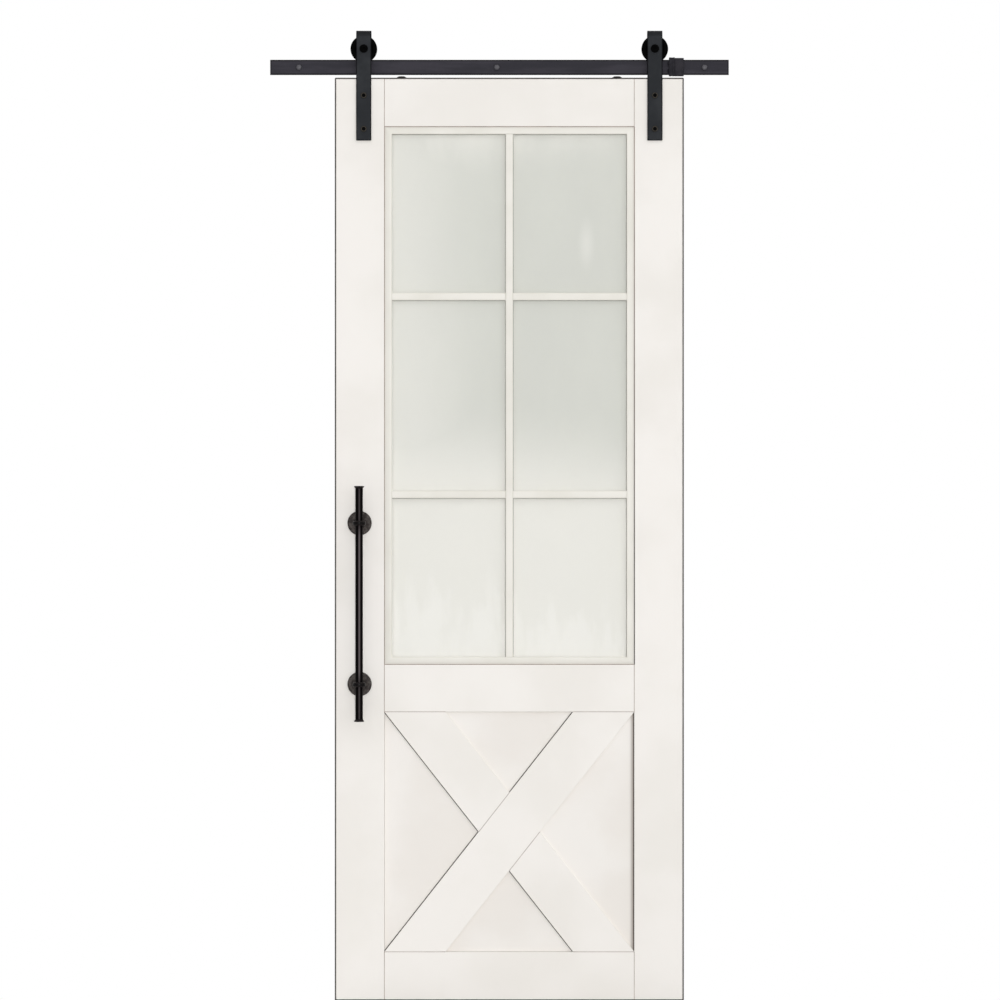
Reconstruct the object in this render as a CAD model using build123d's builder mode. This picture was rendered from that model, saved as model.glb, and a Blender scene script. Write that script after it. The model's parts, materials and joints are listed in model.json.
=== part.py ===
from build123d import *
import math
import os

os.makedirs("parts", exist_ok=True)

# A sliding barn door with its track, in millimetres.
# X runs along the track, Y goes into the wall and Z is up.
# The origin is on the wall's face, at the middle track screw.
# A depth is a distance in front of the wall, so a depth d is at Y = -d.

# Track bar and the screws that hold it off the wall
bar_height = 40.0
bar_thickness = 6.0
bar_edge_chamfer = 0.6
bar_past_left_screw = 76.0
bar_past_right_screw = 64.0
screw_past_hanger = 171.5
screw_past_stop = 55.0
spacer_length = 32.0
spacer_diameter = 20.0
screw_diameter = 8.0
screw_thread_diameter = 7.6
screw_grip = 46.0
screw_point = 6.0
screw_head_flats = 13.0
screw_head_height = 5.5
screw_head_chamfer = 0.7
bolt_clearance = 0.25

# Stop clamped on the track's right-hand end
stop_past_wheel = 2.25
stop_body_length = 23.5
stop_bumper_length = 15.5
stop_wall = 6.8
stop_below = 3.0
stop_above = 4.5
bumper_above = 6.0
stop_slot_clearance = 0.2
stop_edge_chamfer = 1.0
stop_screw_diameter = 5.0
stop_screw_spacing = 24.0
stop_screw_socket = 1.3
buffer_height = 9.0
buffer_depth = 5.0
buffer_reach = 3.5
buffer_spacing = 19.5

# Door slab
door_x = 33.0
door_width = 922.0
door_height = 2438.0
door_thickness = 35.0
track_gap = 8.0
band_thickness = 3.5
band_corner_radius = 3.0
band_chamfer = 0.4
stile_width = 131.0
top_rail_height = 129.0
middle_rail_height = 125.0
bottom_rail_height = 129.0
lower_opening_height = 634.0
arris = 1.0

# Dowels in the corners of the frame
dowel_diameter = 10.0
dowel_length = 80.0
dowel_spacing = 70.0
dowel_clearance = 0.05

# Lower panel and the boards of the cross
panel_thickness = 16.0
panel_edge_gap = 0.4
tongue_thickness = 8.0
tongue_length = 9.0
groove_depth = 10.0
groove_clearance = 0.1
brace_width = 127.0

# Glazing
glass_thickness = 5.0
glass_edge_gap = 4.0
tape_thickness = 1.0
tape_width = 12.0
tape_inset = 1.0
bead_width = 20.0
bead_setback = 1.5
bead_radius = 2.5
glazing_bar_width = 20.0
glazing_bar_inset = 449.0
setting_block_length = 60.0
setting_block_inset = 130.0

# Hangers: strap, axle and fasteners
hanger_inset = 76.5
strap_width = 40.0
strap_thickness = 5.0
strap_corner_radius = 1.5
hanger_gap = 24.0
strap_drop = 166.0
strap_crown = 48.5
rear_leg_drop = 24.0
rear_leg_radius = 9.0
hanger_bolt_first = 47.0
hanger_bolt_spacing = 88.5
hanger_bolt_diameter = 8.0
hanger_head_diameter = 16.0
hanger_head_height = 4.5
hanger_head_chamfer = 1.8
hanger_socket_flats = 6.5
hanger_socket_depth = 2.6
sleeve_diameter = 10.0
sleeve_length = 20.0
sleeve_head_diameter = 18.0
sleeve_head_height = 2.5
sleeve_slot_width = 1.6
sleeve_slot_depth = 1.0
axle_diameter = 10.0
axle_clearance = 0.05
axle_head_diameter = 22.0
axle_head_height = 4.5
axle_head_chamfer = 1.2
axle_end_length = 2.0
nut_flats = 17.0
nut_height = 8.0
bush_diameter = 14.0

# Wheels and their bearings
wheel_diameter = 70.5
wheel_width = 20.0
wheel_root_diameter = 56.4
wheel_rest_gap = 0.3
wheel_groove_width = 8.0
wheel_groove_flare = 1.5
wheel_rim_chamfer = 1.0
wheel_hub_width = 12.0
wheel_hub_diameter = 40.0
wheel_dish_diameter = 49.0
wheel_shoulder_diameter = 26.0
bearing_diameter = 30.0
bearing_width = 9.0
bearing_seat_clearance = 0.02
race_diameter = 25.4
inner_ring_diameter = 15.2
shield_thickness = 0.8
shield_clearance = 0.1
ball_clearance = 0.1
cage_width = 5.0

# Studs on the door's top edge that stop it jumping off the track
stud_inset = 45.0
stud_diameter = 27.0
stud_top_diameter = 17.0
stud_height = 4.5
stud_rim = 1.4
stud_screw_diameter = 4.5
stud_screw_head = 8.6
stud_screw_head_height = 2.2
stud_screw_length = 35.0
stud_screw_point = 4.0

# Pull handle on the left stile
handle_height = 1049.0
handle_length = 621.0
handle_diameter = 20.0
handle_standoff = 48.0
handle_cap_diameter = 27.0
handle_cap_height = 7.0
handle_cap_chamfer = 1.2
post_inset = 98.0
eye_diameter = 34.0
eye_height = 12.0
eye_chamfer = 2.2
eye_clearance = 0.05
neck_diameter = 15.0
collar_diameter = 25.0
collar_height = 3.0
rosette_diameter = 64.0
rosette_thickness = 4.5
rosette_chamfer = 1.2
spigot_diameter = 12.0
handle_screw_diameter = 8.0
handle_screw_reach = 12.0
handle_screw_head = 16.0
handle_screw_head_height = 3.5
handle_screw_head_chamfer = 1.2
handle_thread_clearance = 0.05

# Places worked out from the sizes above
bar_top = bar_height / 2
bar_back = spacer_length
bar_front = spacer_length + bar_thickness
track_depth = spacer_length + bar_thickness / 2

door_front = track_depth + hanger_gap / 2
door_back = door_front - door_thickness
door_middle = (door_front + door_back) / 2
door_top = -bar_height / 2 - track_gap
door_bottom = door_top - door_height
slab_half = door_width / 2 - band_thickness
opening_width = door_width - 2 * stile_width
lower_z = door_bottom + bottom_rail_height
middle_z = lower_z + lower_opening_height
glazed_z = middle_z + middle_rail_height
glazed_top = door_top - top_rail_height
glazed_height = glazed_top - glazed_z
glazed_centre = (glazed_top + glazed_z) / 2

wheel_radius = wheel_diameter / 2
wheel_root = wheel_root_diameter / 2
axle_z = bar_top + wheel_root + wheel_rest_gap
hanger_xs = {
    "left": door_x - door_width / 2 + hanger_inset,
    "right": door_x + door_width / 2 - hanger_inset,
}
stop_x = hanger_xs["right"] + wheel_radius + stop_past_wheel
stop_body_x = stop_x + stop_bumper_length
screw_xs = {
    "left": hanger_xs["left"] - screw_past_hanger,
    "middle": 0.0,
    "right": stop_body_x + stop_body_length + screw_past_stop,
}
bar_left_x = screw_xs["left"] - bar_past_left_screw
bar_right_x = screw_xs["right"] + bar_past_right_screw
strap_front = door_front + strap_thickness
rear_leg_back = door_front - hanger_gap - strap_thickness
hanger_bolt_zs = [
    door_top - hanger_bolt_first,
    door_top - hanger_bolt_first - hanger_bolt_spacing,
]
hanger_bolt_points = [(x, z) for x in hanger_xs.values() for z in hanger_bolt_zs]

handle_x = door_x - door_width / 2 + stile_width / 2
handle_z = door_bottom + handle_height
handle_depth = door_front + handle_standoff
post_zs = {
    "upper": handle_z + handle_length / 2 - post_inset,
    "lower": handle_z - handle_length / 2 + post_inset,
}
stud_xs = [
    door_x - opening_width / 2 + stud_inset,
    door_x + opening_width / 2 - stud_inset,
]


def facing(depth, x=0.0, z=0.0):
    """A plane that faces the room, its sketch seen as from the front."""
    return Plane(origin=(x, -depth, z), x_dir=(1, 0, 0), z_dir=(0, -1, 0))


def side_on(x):
    """A plane across the track, whose sketch runs in Y and Z."""
    return Plane(origin=(x, 0, 0), x_dir=(0, 1, 0), z_dir=(1, 0, 0))


def level(z, x=0.0, depth=0.0):
    """A level plane at a height, seen from above."""
    return Plane(origin=(x, -depth, z), x_dir=(1, 0, 0), z_dir=(0, 0, 1))


def save(piece, name):
    """Label a finished piece and write it."""
    piece.part.label = name
    export_step(piece.part, f"parts/{name}.step")


# Track bar: a flat bar on edge, with a hole for each screw
with BuildPart() as track_bar:
    with BuildSketch(facing(bar_back)):
        with Locations(((bar_left_x + bar_right_x) / 2, 0)):
            Rectangle(bar_right_x - bar_left_x, bar_height)
    extrude(amount=bar_thickness)
    chamfer(track_bar.edges().filter_by(Axis.X), length=bar_edge_chamfer)
    with Locations(*[facing(bar_front, x) for x in screw_xs.values()]):
        Hole(radius=screw_diameter / 2 + bolt_clearance)
save(track_bar, "track_bar")

# Wall spacers: a turned tube behind the bar at each screw
for place, x in screw_xs.items():
    with BuildPart() as spacer:
        with BuildSketch(facing(0, x)):
            Circle(spacer_diameter / 2)
            Circle(screw_diameter / 2 + bolt_clearance, mode=Mode.SUBTRACT)
        extrude(amount=spacer_length)
        rims = spacer.edges().filter_by(GeomType.CIRCLE)
        chamfer(rims.filter_by(lambda e: e.radius > screw_diameter), length=arris)
    save(spacer, f"wall_spacer_{place}")

# Track screws: hexagon head, plain shank to the wall, then the thread's outside and point
with BuildPart() as track_screws:
    for x in screw_xs.values():
        with BuildSketch(facing(bar_front, x)):
            RegularPolygon(screw_head_flats / 2, 6, major_radius=False)
        extrude(amount=screw_head_height)
        with BuildSketch(facing(0, x)):
            Circle(screw_diameter / 2)
        extrude(amount=bar_front)
        with BuildSketch(facing(0, x)):
            Circle(screw_thread_diameter / 2)
        extrude(amount=-screw_grip)
        with BuildSketch(facing(-screw_grip, x)):
            Circle(screw_thread_diameter / 2)
        extrude(amount=-screw_point, taper=30)
    heads = track_screws.faces().filter_by(Axis.Y).group_by(Axis.Y)[0]
    chamfer(heads.edges(), length=screw_head_chamfer)
save(track_screws, "track_screws")


def stop_block(length, start_x, above):
    """A collar round the bar, from start_x along the track."""
    low = -bar_height / 2 - stop_below
    high = bar_height / 2 + above
    with BuildPart() as block:
        with BuildSketch(side_on(start_x)):
            with Locations((-track_depth, (low + high) / 2)):
                Rectangle(bar_thickness + 2 * stop_wall, high - low)
            with Locations((-track_depth, 0)):
                Rectangle(
                    bar_thickness + 2 * stop_slot_clearance,
                    bar_height + 2 * stop_slot_clearance,
                    mode=Mode.SUBTRACT,
                )
        extrude(amount=length)
    return block


# End stop: a steel collar that two grub screws lock from behind
stop_screw_x = stop_body_x + stop_body_length / 2
stop_back = track_depth - bar_thickness / 2 - stop_wall
stop_screw_zs = [-stop_screw_spacing / 2, stop_screw_spacing / 2]
stop_blank = stop_block(stop_body_length, stop_body_x, stop_above)
with BuildPart() as end_stop_body:
    add(stop_blank.part)
    outside = end_stop_body.faces().filter_by(Axis.Y).sort_by(Axis.Y)
    chamfer(outside[0].edges() + outside[-1].edges(), length=stop_edge_chamfer)
    with Locations(*[facing(bar_back, stop_screw_x, z) for z in stop_screw_zs]):
        Hole(radius=stop_screw_diameter / 2, depth=spacer_length)
save(end_stop_body, "end_stop_body")

with BuildPart() as end_stop_screws:
    for z in stop_screw_zs:
        with BuildSketch(facing(stop_back, stop_screw_x, z)):
            Circle(stop_screw_diameter / 2 - bearing_seat_clearance)
        extrude(amount=stop_wall)
        with BuildSketch(facing(stop_back, stop_screw_x, z)):
            RegularPolygon(stop_screw_socket, 6, major_radius=False)
        extrude(amount=stop_screw_diameter / 2, mode=Mode.SUBTRACT)
save(end_stop_screws, "end_stop_screws")

# End stop's rubber bumper, with two small buffers on the side that meets the hanger
bumper_blank = stop_block(stop_bumper_length, stop_x, bumper_above)
buffer_y = -(bar_front + stop_slot_clearance + stop_wall / 2)
with BuildPart() as end_stop_bumper:
    add(bumper_blank.part)
    outside = end_stop_bumper.faces().filter_by(Axis.Y).sort_by(Axis.Y)
    chamfer(outside[0].edges() + outside[-1].edges(), length=stop_edge_chamfer)
    with BuildSketch(side_on(stop_x)):
        with Locations((buffer_y, -buffer_spacing / 2), (buffer_y, buffer_spacing / 2)):
            RectangleRounded(buffer_depth, buffer_height, buffer_depth / 3)
    extrude(amount=-buffer_reach)
save(end_stop_bumper, "end_stop_bumper")


def arris_faces(piece):
    """Take the sharp edge off the front and back faces of a board."""
    ends = piece.faces().filter_by(Axis.Y).sort_by(Axis.Y)
    chamfer(ends[0].edges() + ends[-1].edges(), length=arris)


# Rails and stiles, butted at the seams with dowels through each joint
rail_spans = {
    "top": (glazed_top, door_top - band_thickness),
    "middle": (middle_z, glazed_z),
    "bottom": (door_bottom + band_thickness, lower_z),
}
rail_centres = {
    "top": door_top - top_rail_height / 2,
    "middle": middle_z + middle_rail_height / 2,
    "bottom": door_bottom + bottom_rail_height / 2,
}
dowel_zs = [
    centre + step * dowel_spacing / 2
    for centre in rail_centres.values()
    for step in (-1, 1)
]
dowel_hole = dowel_diameter / 2 + dowel_clearance
groove_width = tongue_thickness + 2 * groove_clearance


def dowel_holes(zs, x, reach):
    """The room for a dowel at each height, from the seam at x."""
    with BuildPart() as holes:
        for z in zs:
            with BuildSketch(Plane(origin=(x, -door_middle, z), z_dir=(1, 0, 0))):
                Circle(dowel_hole)
            extrude(amount=reach)
    return holes.part


def panel_groove(low_x, high_x, low_z, high_z):
    """The room for the lower panel's tongue, at the middle of the slab."""
    with BuildPart() as groove:
        with BuildSketch(facing(door_middle - groove_width / 2)):
            with Locations(((low_x + high_x) / 2, (low_z + high_z) / 2)):
                Rectangle(high_x - low_x, high_z - low_z)
        extrude(amount=groove_width)
    return groove.part


dowel_reach = dowel_length / 2 + dowel_clearance
for place, side in (("left", -1), ("right", 1)):
    seam_x = door_x + side * opening_width / 2
    outer_x = door_x + side * slab_half
    hanger_points = [(hanger_xs[place], z) for z in hanger_bolt_zs]
    with BuildPart() as stile:
        with BuildSketch(facing(door_back)):
            with Locations(((seam_x + outer_x) / 2, (door_top + door_bottom) / 2)):
                Rectangle(abs(outer_x - seam_x), door_height - 2 * band_thickness)
        extrude(amount=door_thickness)
        arris_faces(stile)
        groove_xs = sorted((seam_x, seam_x + side * groove_depth))
        groove_zs = (lower_z - groove_depth, middle_z + groove_depth)
        add(panel_groove(*groove_xs, *groove_zs), mode=Mode.SUBTRACT)
        add(dowel_holes(dowel_zs, seam_x, side * dowel_reach), mode=Mode.SUBTRACT)
        with Locations(*[facing(door_front, x, z) for x, z in hanger_points]):
            Hole(radius=hanger_bolt_diameter / 2 + bolt_clearance)
        with BuildSketch(facing(door_back)):
            with Locations(*hanger_points):
                Circle(sleeve_diameter / 2 + axle_clearance)
        extrude(amount=sleeve_length + bolt_clearance, mode=Mode.SUBTRACT)
        if place == "left":
            with Locations(*[facing(door_front, handle_x, z) for z in post_zs.values()]):
                Hole(radius=handle_screw_diameter / 2 + bolt_clearance)
    save(stile, f"{place}_stile")

stud_screw_hole = stud_screw_diameter / 2 + axle_clearance
for place, (low_z, high_z) in rail_spans.items():
    centre = rail_centres[place]
    rail_dowel_zs = [centre - dowel_spacing / 2, centre + dowel_spacing / 2]
    with BuildPart() as rail:
        with BuildSketch(facing(door_back)):
            with Locations((door_x, (low_z + high_z) / 2)):
                Rectangle(opening_width, high_z - low_z)
        extrude(amount=door_thickness)
        arris_faces(rail)
        for side in (-1, 1):
            seam_x = door_x + side * opening_width / 2
            holes = dowel_holes(rail_dowel_zs, seam_x, -side * dowel_reach)
            add(holes, mode=Mode.SUBTRACT)
        ends = (door_x - opening_width / 2, door_x + opening_width / 2)
        if place == "middle":
            groove = panel_groove(*ends, low_z, low_z + groove_depth)
            add(groove, mode=Mode.SUBTRACT)
        if place == "bottom":
            groove = panel_groove(*ends, high_z - groove_depth, high_z)
            add(groove, mode=Mode.SUBTRACT)
        if place == "top":
            for x in stud_xs:
                with BuildSketch(level(high_z, x, door_middle)):
                    Circle(stud_screw_hole)
                extrude(amount=-stud_screw_length, mode=Mode.SUBTRACT)
    save(rail, f"{place}_rail")

with BuildPart() as frame_dowels:
    for side in (-1, 1):
        seam_x = door_x + side * opening_width / 2
        for z in dowel_zs:
            start = Plane(origin=(seam_x, -door_middle, z), z_dir=(1, 0, 0))
            with BuildSketch(start):
                Circle(dowel_diameter / 2)
            extrude(amount=dowel_length / 2, both=True)
save(frame_dowels, "frame_dowels")


# Edge bands: thin dark strips round the slab, the side ones running past the ends
def edge_band(width, height, x, z, corner_side=None):
    """A strip as deep as the door, its outer corners rounded on one side."""
    with BuildPart() as band:
        with BuildSketch(facing(door_back)) as outline:
            with Locations((x, z)):
                Rectangle(width, height)
            if corner_side is not None:
                corners = outline.vertices().group_by(Axis.X)[corner_side]
                fillet(corners, radius=band_corner_radius)
        extrude(amount=door_thickness)
        ends = band.faces().filter_by(Axis.Y).sort_by(Axis.Y)
        chamfer(ends[0].edges() + ends[-1].edges(), length=band_chamfer)
    return band.part


door_centre_z = (door_top + door_bottom) / 2
with BuildPart() as side_edge_bands:
    for side, corner_side in ((-1, 0), (1, -1)):
        band_x = door_x + side * (door_width - band_thickness) / 2
        add(edge_band(band_thickness, door_height, band_x, door_centre_z, corner_side))
save(side_edge_bands, "side_edge_bands")

with BuildPart() as end_edge_bands:
    for side in (-1, 1):
        band_z = door_centre_z + side * (door_height - band_thickness) / 2
        add(edge_band(2 * slab_half, band_thickness, door_x, band_z))
    for x in stud_xs:
        with BuildSketch(level(door_top, x, door_middle)):
            Circle(stud_screw_hole)
        extrude(amount=-2 * band_thickness, mode=Mode.SUBTRACT)
save(end_edge_bands, "end_edge_bands")

# Lower panel, tongued into the frame all round
lower_centre = (lower_z + middle_z) / 2
field_width = opening_width - 2 * panel_edge_gap
field_height = lower_opening_height - 2 * panel_edge_gap
with BuildPart() as lower_panel:
    with BuildSketch(facing(door_middle - panel_thickness / 2)):
        with Locations((door_x, lower_centre)):
            Rectangle(field_width, field_height)
    extrude(amount=panel_thickness)
    with BuildSketch(facing(door_middle - tongue_thickness / 2)):
        with Locations((door_x, lower_centre)):
            Rectangle(
                opening_width + 2 * tongue_length,
                lower_opening_height + 2 * tongue_length,
            )
    extrude(amount=tongue_thickness)
save(lower_panel, "lower_panel")

# The cross: one whole board from bottom left to top right, and two half boards
# butted against it. Its run along the rail follows from its square width.
across = opening_width
rise = lower_opening_height
square = brace_width**2
root = square**2 * across**2 + (rise**2 - square) * square * (rise**2 + across**2)
brace_run = (math.sqrt(root) - square * across) / (rise**2 - square)


def crossing(a, b, c, d):
    """Where the line from a to b crosses the line from c to d."""
    run = (b[0] - a[0], b[1] - a[1])
    other = (d[0] - c[0], d[1] - c[1])
    scale = run[0] * other[1] - run[1] * other[0]
    share = ((c[0] - a[0]) * other[1] - (c[1] - a[1]) * other[0]) / scale
    return (a[0] + share * run[0], a[1] + share * run[1])


rising_top = ((0, 0), (across - brace_run, rise))
rising_low = ((brace_run, 0), (across, rise))
falling_low = ((0, rise), (across - brace_run, 0))
falling_top = ((brace_run, rise), (across, 0))
brace_outlines = {
    "long": [rising_top[0], rising_low[0], rising_low[1], rising_top[1]],
    "upper": [
        falling_low[0],
        crossing(*falling_low, *rising_top),
        crossing(*falling_top, *rising_top),
        falling_top[0],
    ],
    "lower": [
        crossing(*falling_low, *rising_low),
        falling_low[1],
        falling_top[1],
        crossing(*falling_top, *rising_low),
    ],
}
brace_thickness = (door_thickness - panel_thickness) / 2
for face, start, flip in (
    ("front", door_front - brace_thickness, 1),
    ("back", door_back, -1),
):
    for share, outline in brace_outlines.items():
        points = [
            (door_x + flip * (x - across / 2), lower_z + z) for x, z in outline
        ]
        with BuildPart() as brace:
            with BuildSketch(facing(start)):
                with BuildLine():
                    Polyline(*points, close=True)
                make_face()
            extrude(amount=brace_thickness)
            shown = brace.faces().filter_by(Axis.Y).sort_by(Axis.Y)
            chamfer((shown[0] if face == "front" else shown[-1]).edges(), length=arris)
        save(brace, f"{share}_brace_{face}")

# Glass pane on two setting blocks, between two grids of glazing tape
pane_width = opening_width - 2 * glass_edge_gap
pane_height = glazed_height - 2 * glass_edge_gap
pane_back = door_middle - glass_thickness / 2
pane_front = door_middle + glass_thickness / 2
with BuildPart() as glass_pane:
    with BuildSketch(facing(pane_back)):
        with Locations((door_x, glazed_centre)):
            Rectangle(pane_width, pane_height)
    extrude(amount=glass_thickness)
save(glass_pane, "glass_pane")

setting_block_xs = [
    door_x - opening_width / 2 + setting_block_inset,
    door_x + opening_width / 2 - setting_block_inset,
]
with BuildPart() as setting_blocks:
    with BuildSketch(facing(pane_back)):
        with Locations(*[(x, glazed_z + glass_edge_gap / 2) for x in setting_block_xs]):
            Rectangle(setting_block_length, glass_edge_gap)
    extrude(amount=glass_thickness)
save(setting_blocks, "setting_blocks")

bar_zs = [glazed_z + glazing_bar_inset, glazed_top - glazing_bar_inset]
tape_out_width = pane_width - 2 * tape_inset
tape_out_height = pane_height - 2 * tape_inset
for face, start in (("front", pane_front), ("back", pane_back - tape_thickness)):
    with BuildPart() as tape:
        with BuildSketch(facing(start)):
            with Locations((door_x, glazed_centre)):
                Rectangle(tape_out_width, tape_out_height)
                Rectangle(
                    tape_out_width - 2 * tape_width,
                    tape_out_height - 2 * tape_width,
                    mode=Mode.SUBTRACT,
                )
                Rectangle(tape_width, tape_out_height - tape_width)
            with Locations(*[(door_x, z) for z in bar_zs]):
                Rectangle(tape_out_width - tape_width, tape_width)
        extrude(amount=tape_thickness)
    save(tape, f"glazing_tape_{face}")

# Glazing beads, mitred at the corners, and the bars between the panes
bead_depth = (door_thickness - glass_thickness) / 2 - tape_thickness - bead_setback
inner_half_width = opening_width / 2 - bead_width
inner_half_height = glazed_height / 2 - bead_width
bead_starts = {"front": pane_front + tape_thickness, "back": door_back + bead_setback}


def bead(index, start, outward):
    """One mitred bead, counted from the bottom, its edge beside the glass rounded over."""
    corners = [(-1, -1), (1, -1), (1, 1), (-1, 1)]
    first = corners[index]
    last = corners[(index + 1) % 4]
    outline = [
        (first[0] * opening_width / 2, first[1] * glazed_height / 2),
        (last[0] * opening_width / 2, last[1] * glazed_height / 2),
        (last[0] * inner_half_width, last[1] * inner_half_height),
        (first[0] * inner_half_width, first[1] * inner_half_height),
    ]
    with BuildPart() as strip:
        with BuildSketch(facing(start, door_x, glazed_centre)):
            with BuildLine():
                Polyline(*outline, close=True)
            make_face()
        extrude(amount=bead_depth)
        shown = strip.faces().sort_by(Axis.Y)[outward]
        middle = Vector(door_x, -start, glazed_centre)
        edge = shown.edges().sort_by(lambda e: (e @ 0.5 - middle).length)
        lying = edge.filter_by(Axis.X if index in (0, 2) else Axis.Z)
        fillet(lying[0], radius=bead_radius)
    return strip


for face, outward in (("front", 0), ("back", -1)):
    for kind, indexes in (("side", (1, 3)), ("end", (0, 2))):
        with BuildPart() as beads:
            for index in indexes:
                add(bead(index, bead_starts[face], outward).part)
        save(beads, f"glazing_{kind}_beads_{face}")


def glazing_bar(width, height, x, z, start, outward):
    """One bar, its two long shown edges rounded over."""
    with BuildPart() as bar:
        with BuildSketch(facing(start)):
            with Locations((x, z)):
                Rectangle(width, height)
        extrude(amount=bead_depth)
        shown = bar.faces().filter_by(Axis.Y).sort_by(Axis.Y)[outward]
        long_axis = Axis.X if width > height else Axis.Z
        fillet(shown.edges().filter_by(long_axis), radius=bead_radius)
    return bar


cross_bar_length = inner_half_width - glazing_bar_width / 2
cross_bar_x = (inner_half_width + glazing_bar_width / 2) / 2
for face, outward in (("front", 0), ("back", -1)):
    start = bead_starts[face]
    upright_size = (glazing_bar_width, 2 * inner_half_height)
    upright = glazing_bar(*upright_size, door_x, glazed_centre, start, outward)
    save(upright, f"glazing_upright_{face}")
    with BuildPart() as cross_bars:
        for z in bar_zs:
            for side in (-1, 1):
                x = door_x + side * cross_bar_x
                size = (cross_bar_length, glazing_bar_width)
                add(glazing_bar(*size, x, z, start, outward).part)
    save(cross_bars, f"glazing_cross_bars_{face}")

# Hanger straps: flat steel folded over the wheel, its front leg running down the door
strap_bottom = door_top - strap_drop
bend_z = axle_z + strap_crown - hanger_gap / 2 - strap_thickness
rear_leg_end = axle_z - rear_leg_drop
outer_bend = hanger_gap / 2 + strap_thickness
inner_bend = hanger_gap / 2
for place, x in hanger_xs.items():
    with BuildPart() as strap:
        with BuildSketch(side_on(x)):
            with BuildLine():
                Polyline(
                    (-door_front, bend_z),
                    (-door_front, strap_bottom),
                    (-strap_front, strap_bottom),
                    (-strap_front, bend_z),
                )
                ThreePointArc(
                    (-strap_front, bend_z),
                    (-track_depth, bend_z + outer_bend),
                    (-rear_leg_back, bend_z),
                )
                Polyline(
                    (-rear_leg_back, bend_z),
                    (-rear_leg_back, rear_leg_end),
                    (-rear_leg_back - strap_thickness, rear_leg_end),
                    (-rear_leg_back - strap_thickness, bend_z),
                )
                ThreePointArc(
                    (-rear_leg_back - strap_thickness, bend_z),
                    (-track_depth, bend_z + inner_bend),
                    (-door_front, bend_z),
                )
            make_face()
        extrude(amount=strap_width / 2, both=True)
        corner_edges = strap.edges().filter_by(Axis.Y).group_by(Axis.Z)
        fillet(corner_edges[-1], radius=rear_leg_radius)
        corner_edges = strap.edges().filter_by(Axis.Y).group_by(Axis.Z)
        fillet(corner_edges[0], radius=strap_corner_radius)
        with Locations(facing(strap_front, x, axle_z)):
            Hole(radius=axle_diameter / 2 + axle_clearance)
        with Locations(*[facing(strap_front, x, z) for z in hanger_bolt_zs]):
            Hole(radius=hanger_bolt_diameter / 2 + bolt_clearance)
    save(strap, f"{place}_strap")

# Hanger bolts with button heads, and the sleeve nuts that take them from behind
bolt_end = door_back + bolt_clearance
with BuildPart() as hanger_bolts:
    for x, z in hanger_bolt_points:
        with BuildSketch(facing(strap_front, x, z)):
            Circle(hanger_head_diameter / 2)
        extrude(amount=hanger_head_height)
    crowns = hanger_bolts.faces().filter_by(Axis.Y).group_by(Axis.Y)[0]
    chamfer(crowns.edges(), length=hanger_head_chamfer)
    for x, z in hanger_bolt_points:
        with BuildSketch(facing(bolt_end, x, z)):
            Circle(hanger_bolt_diameter / 2)
        extrude(amount=strap_front - bolt_end)
        with BuildSketch(facing(strap_front + hanger_head_height, x, z)):
            RegularPolygon(hanger_socket_flats / 2, 6, major_radius=False)
        extrude(amount=-hanger_socket_depth, mode=Mode.SUBTRACT)
save(hanger_bolts, "hanger_bolts")

with BuildPart() as hanger_nuts:
    for x, z in hanger_bolt_points:
        with BuildSketch(facing(door_back, x, z)):
            Circle(sleeve_head_diameter / 2)
        extrude(amount=-sleeve_head_height)
        with BuildSketch(facing(door_back, x, z)):
            Circle(sleeve_diameter / 2)
            Circle(hanger_bolt_diameter / 2 + axle_clearance, mode=Mode.SUBTRACT)
        extrude(amount=sleeve_length)
        with BuildSketch(facing(door_back - sleeve_head_height, x, z)):
            Rectangle(sleeve_head_diameter, sleeve_slot_width)
        extrude(amount=sleeve_slot_depth, mode=Mode.SUBTRACT)
save(hanger_nuts, "hanger_nuts")

# Axles: a flat round head on the strap, bushes beside the bearing and a nut behind
for place, x in hanger_xs.items():
    with BuildPart() as axle:
        with BuildSketch(facing(strap_front, x, axle_z)):
            Circle(axle_head_diameter / 2)
        extrude(amount=axle_head_height)
        head = axle.faces().filter_by(Axis.Y).sort_by(Axis.Y)[0]
        chamfer(head.edges(), length=axle_head_chamfer)
        with BuildSketch(facing(strap_front, x, axle_z)):
            Circle(axle_diameter / 2)
        extrude(amount=-(strap_front - rear_leg_back + nut_height + axle_end_length))
        tip = axle.faces().filter_by(Axis.Y).sort_by(Axis.Y)[-1]
        chamfer(tip.edges(), length=axle_end_length / 2)
    save(axle, f"{place}_axle_bolt")

with BuildPart() as axle_nuts:
    for x in hanger_xs.values():
        with BuildSketch(facing(rear_leg_back, x, axle_z)):
            RegularPolygon(nut_flats / 2, 6, major_radius=False)
            Circle(axle_diameter / 2 + axle_clearance, mode=Mode.SUBTRACT)
        extrude(amount=-nut_height)
save(axle_nuts, "axle_nuts")

bush_length = (hanger_gap - bearing_width) / 2
with BuildPart() as axle_bushes:
    for x in hanger_xs.values():
        for start in (door_front - hanger_gap, track_depth + bearing_width / 2):
            with BuildSketch(facing(start, x, axle_z)):
                Circle(bush_diameter / 2)
                Circle(axle_diameter / 2 + axle_clearance, mode=Mode.SUBTRACT)
            extrude(amount=bush_length)
save(axle_bushes, "axle_bushes")


def turned(points, x, z):
    """A piece turned about the axle at x, from points of (offset to the wall, radius)."""
    with BuildPart() as piece:
        with BuildSketch(side_on(x)):
            with BuildLine():
                Polyline(
                    *[(step - track_depth, z + radius) for step, radius in points],
                    close=True,
                )
            make_face()
        revolve(axis=Axis((x, -track_depth, z), (0, 1, 0)))
    return piece


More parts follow.
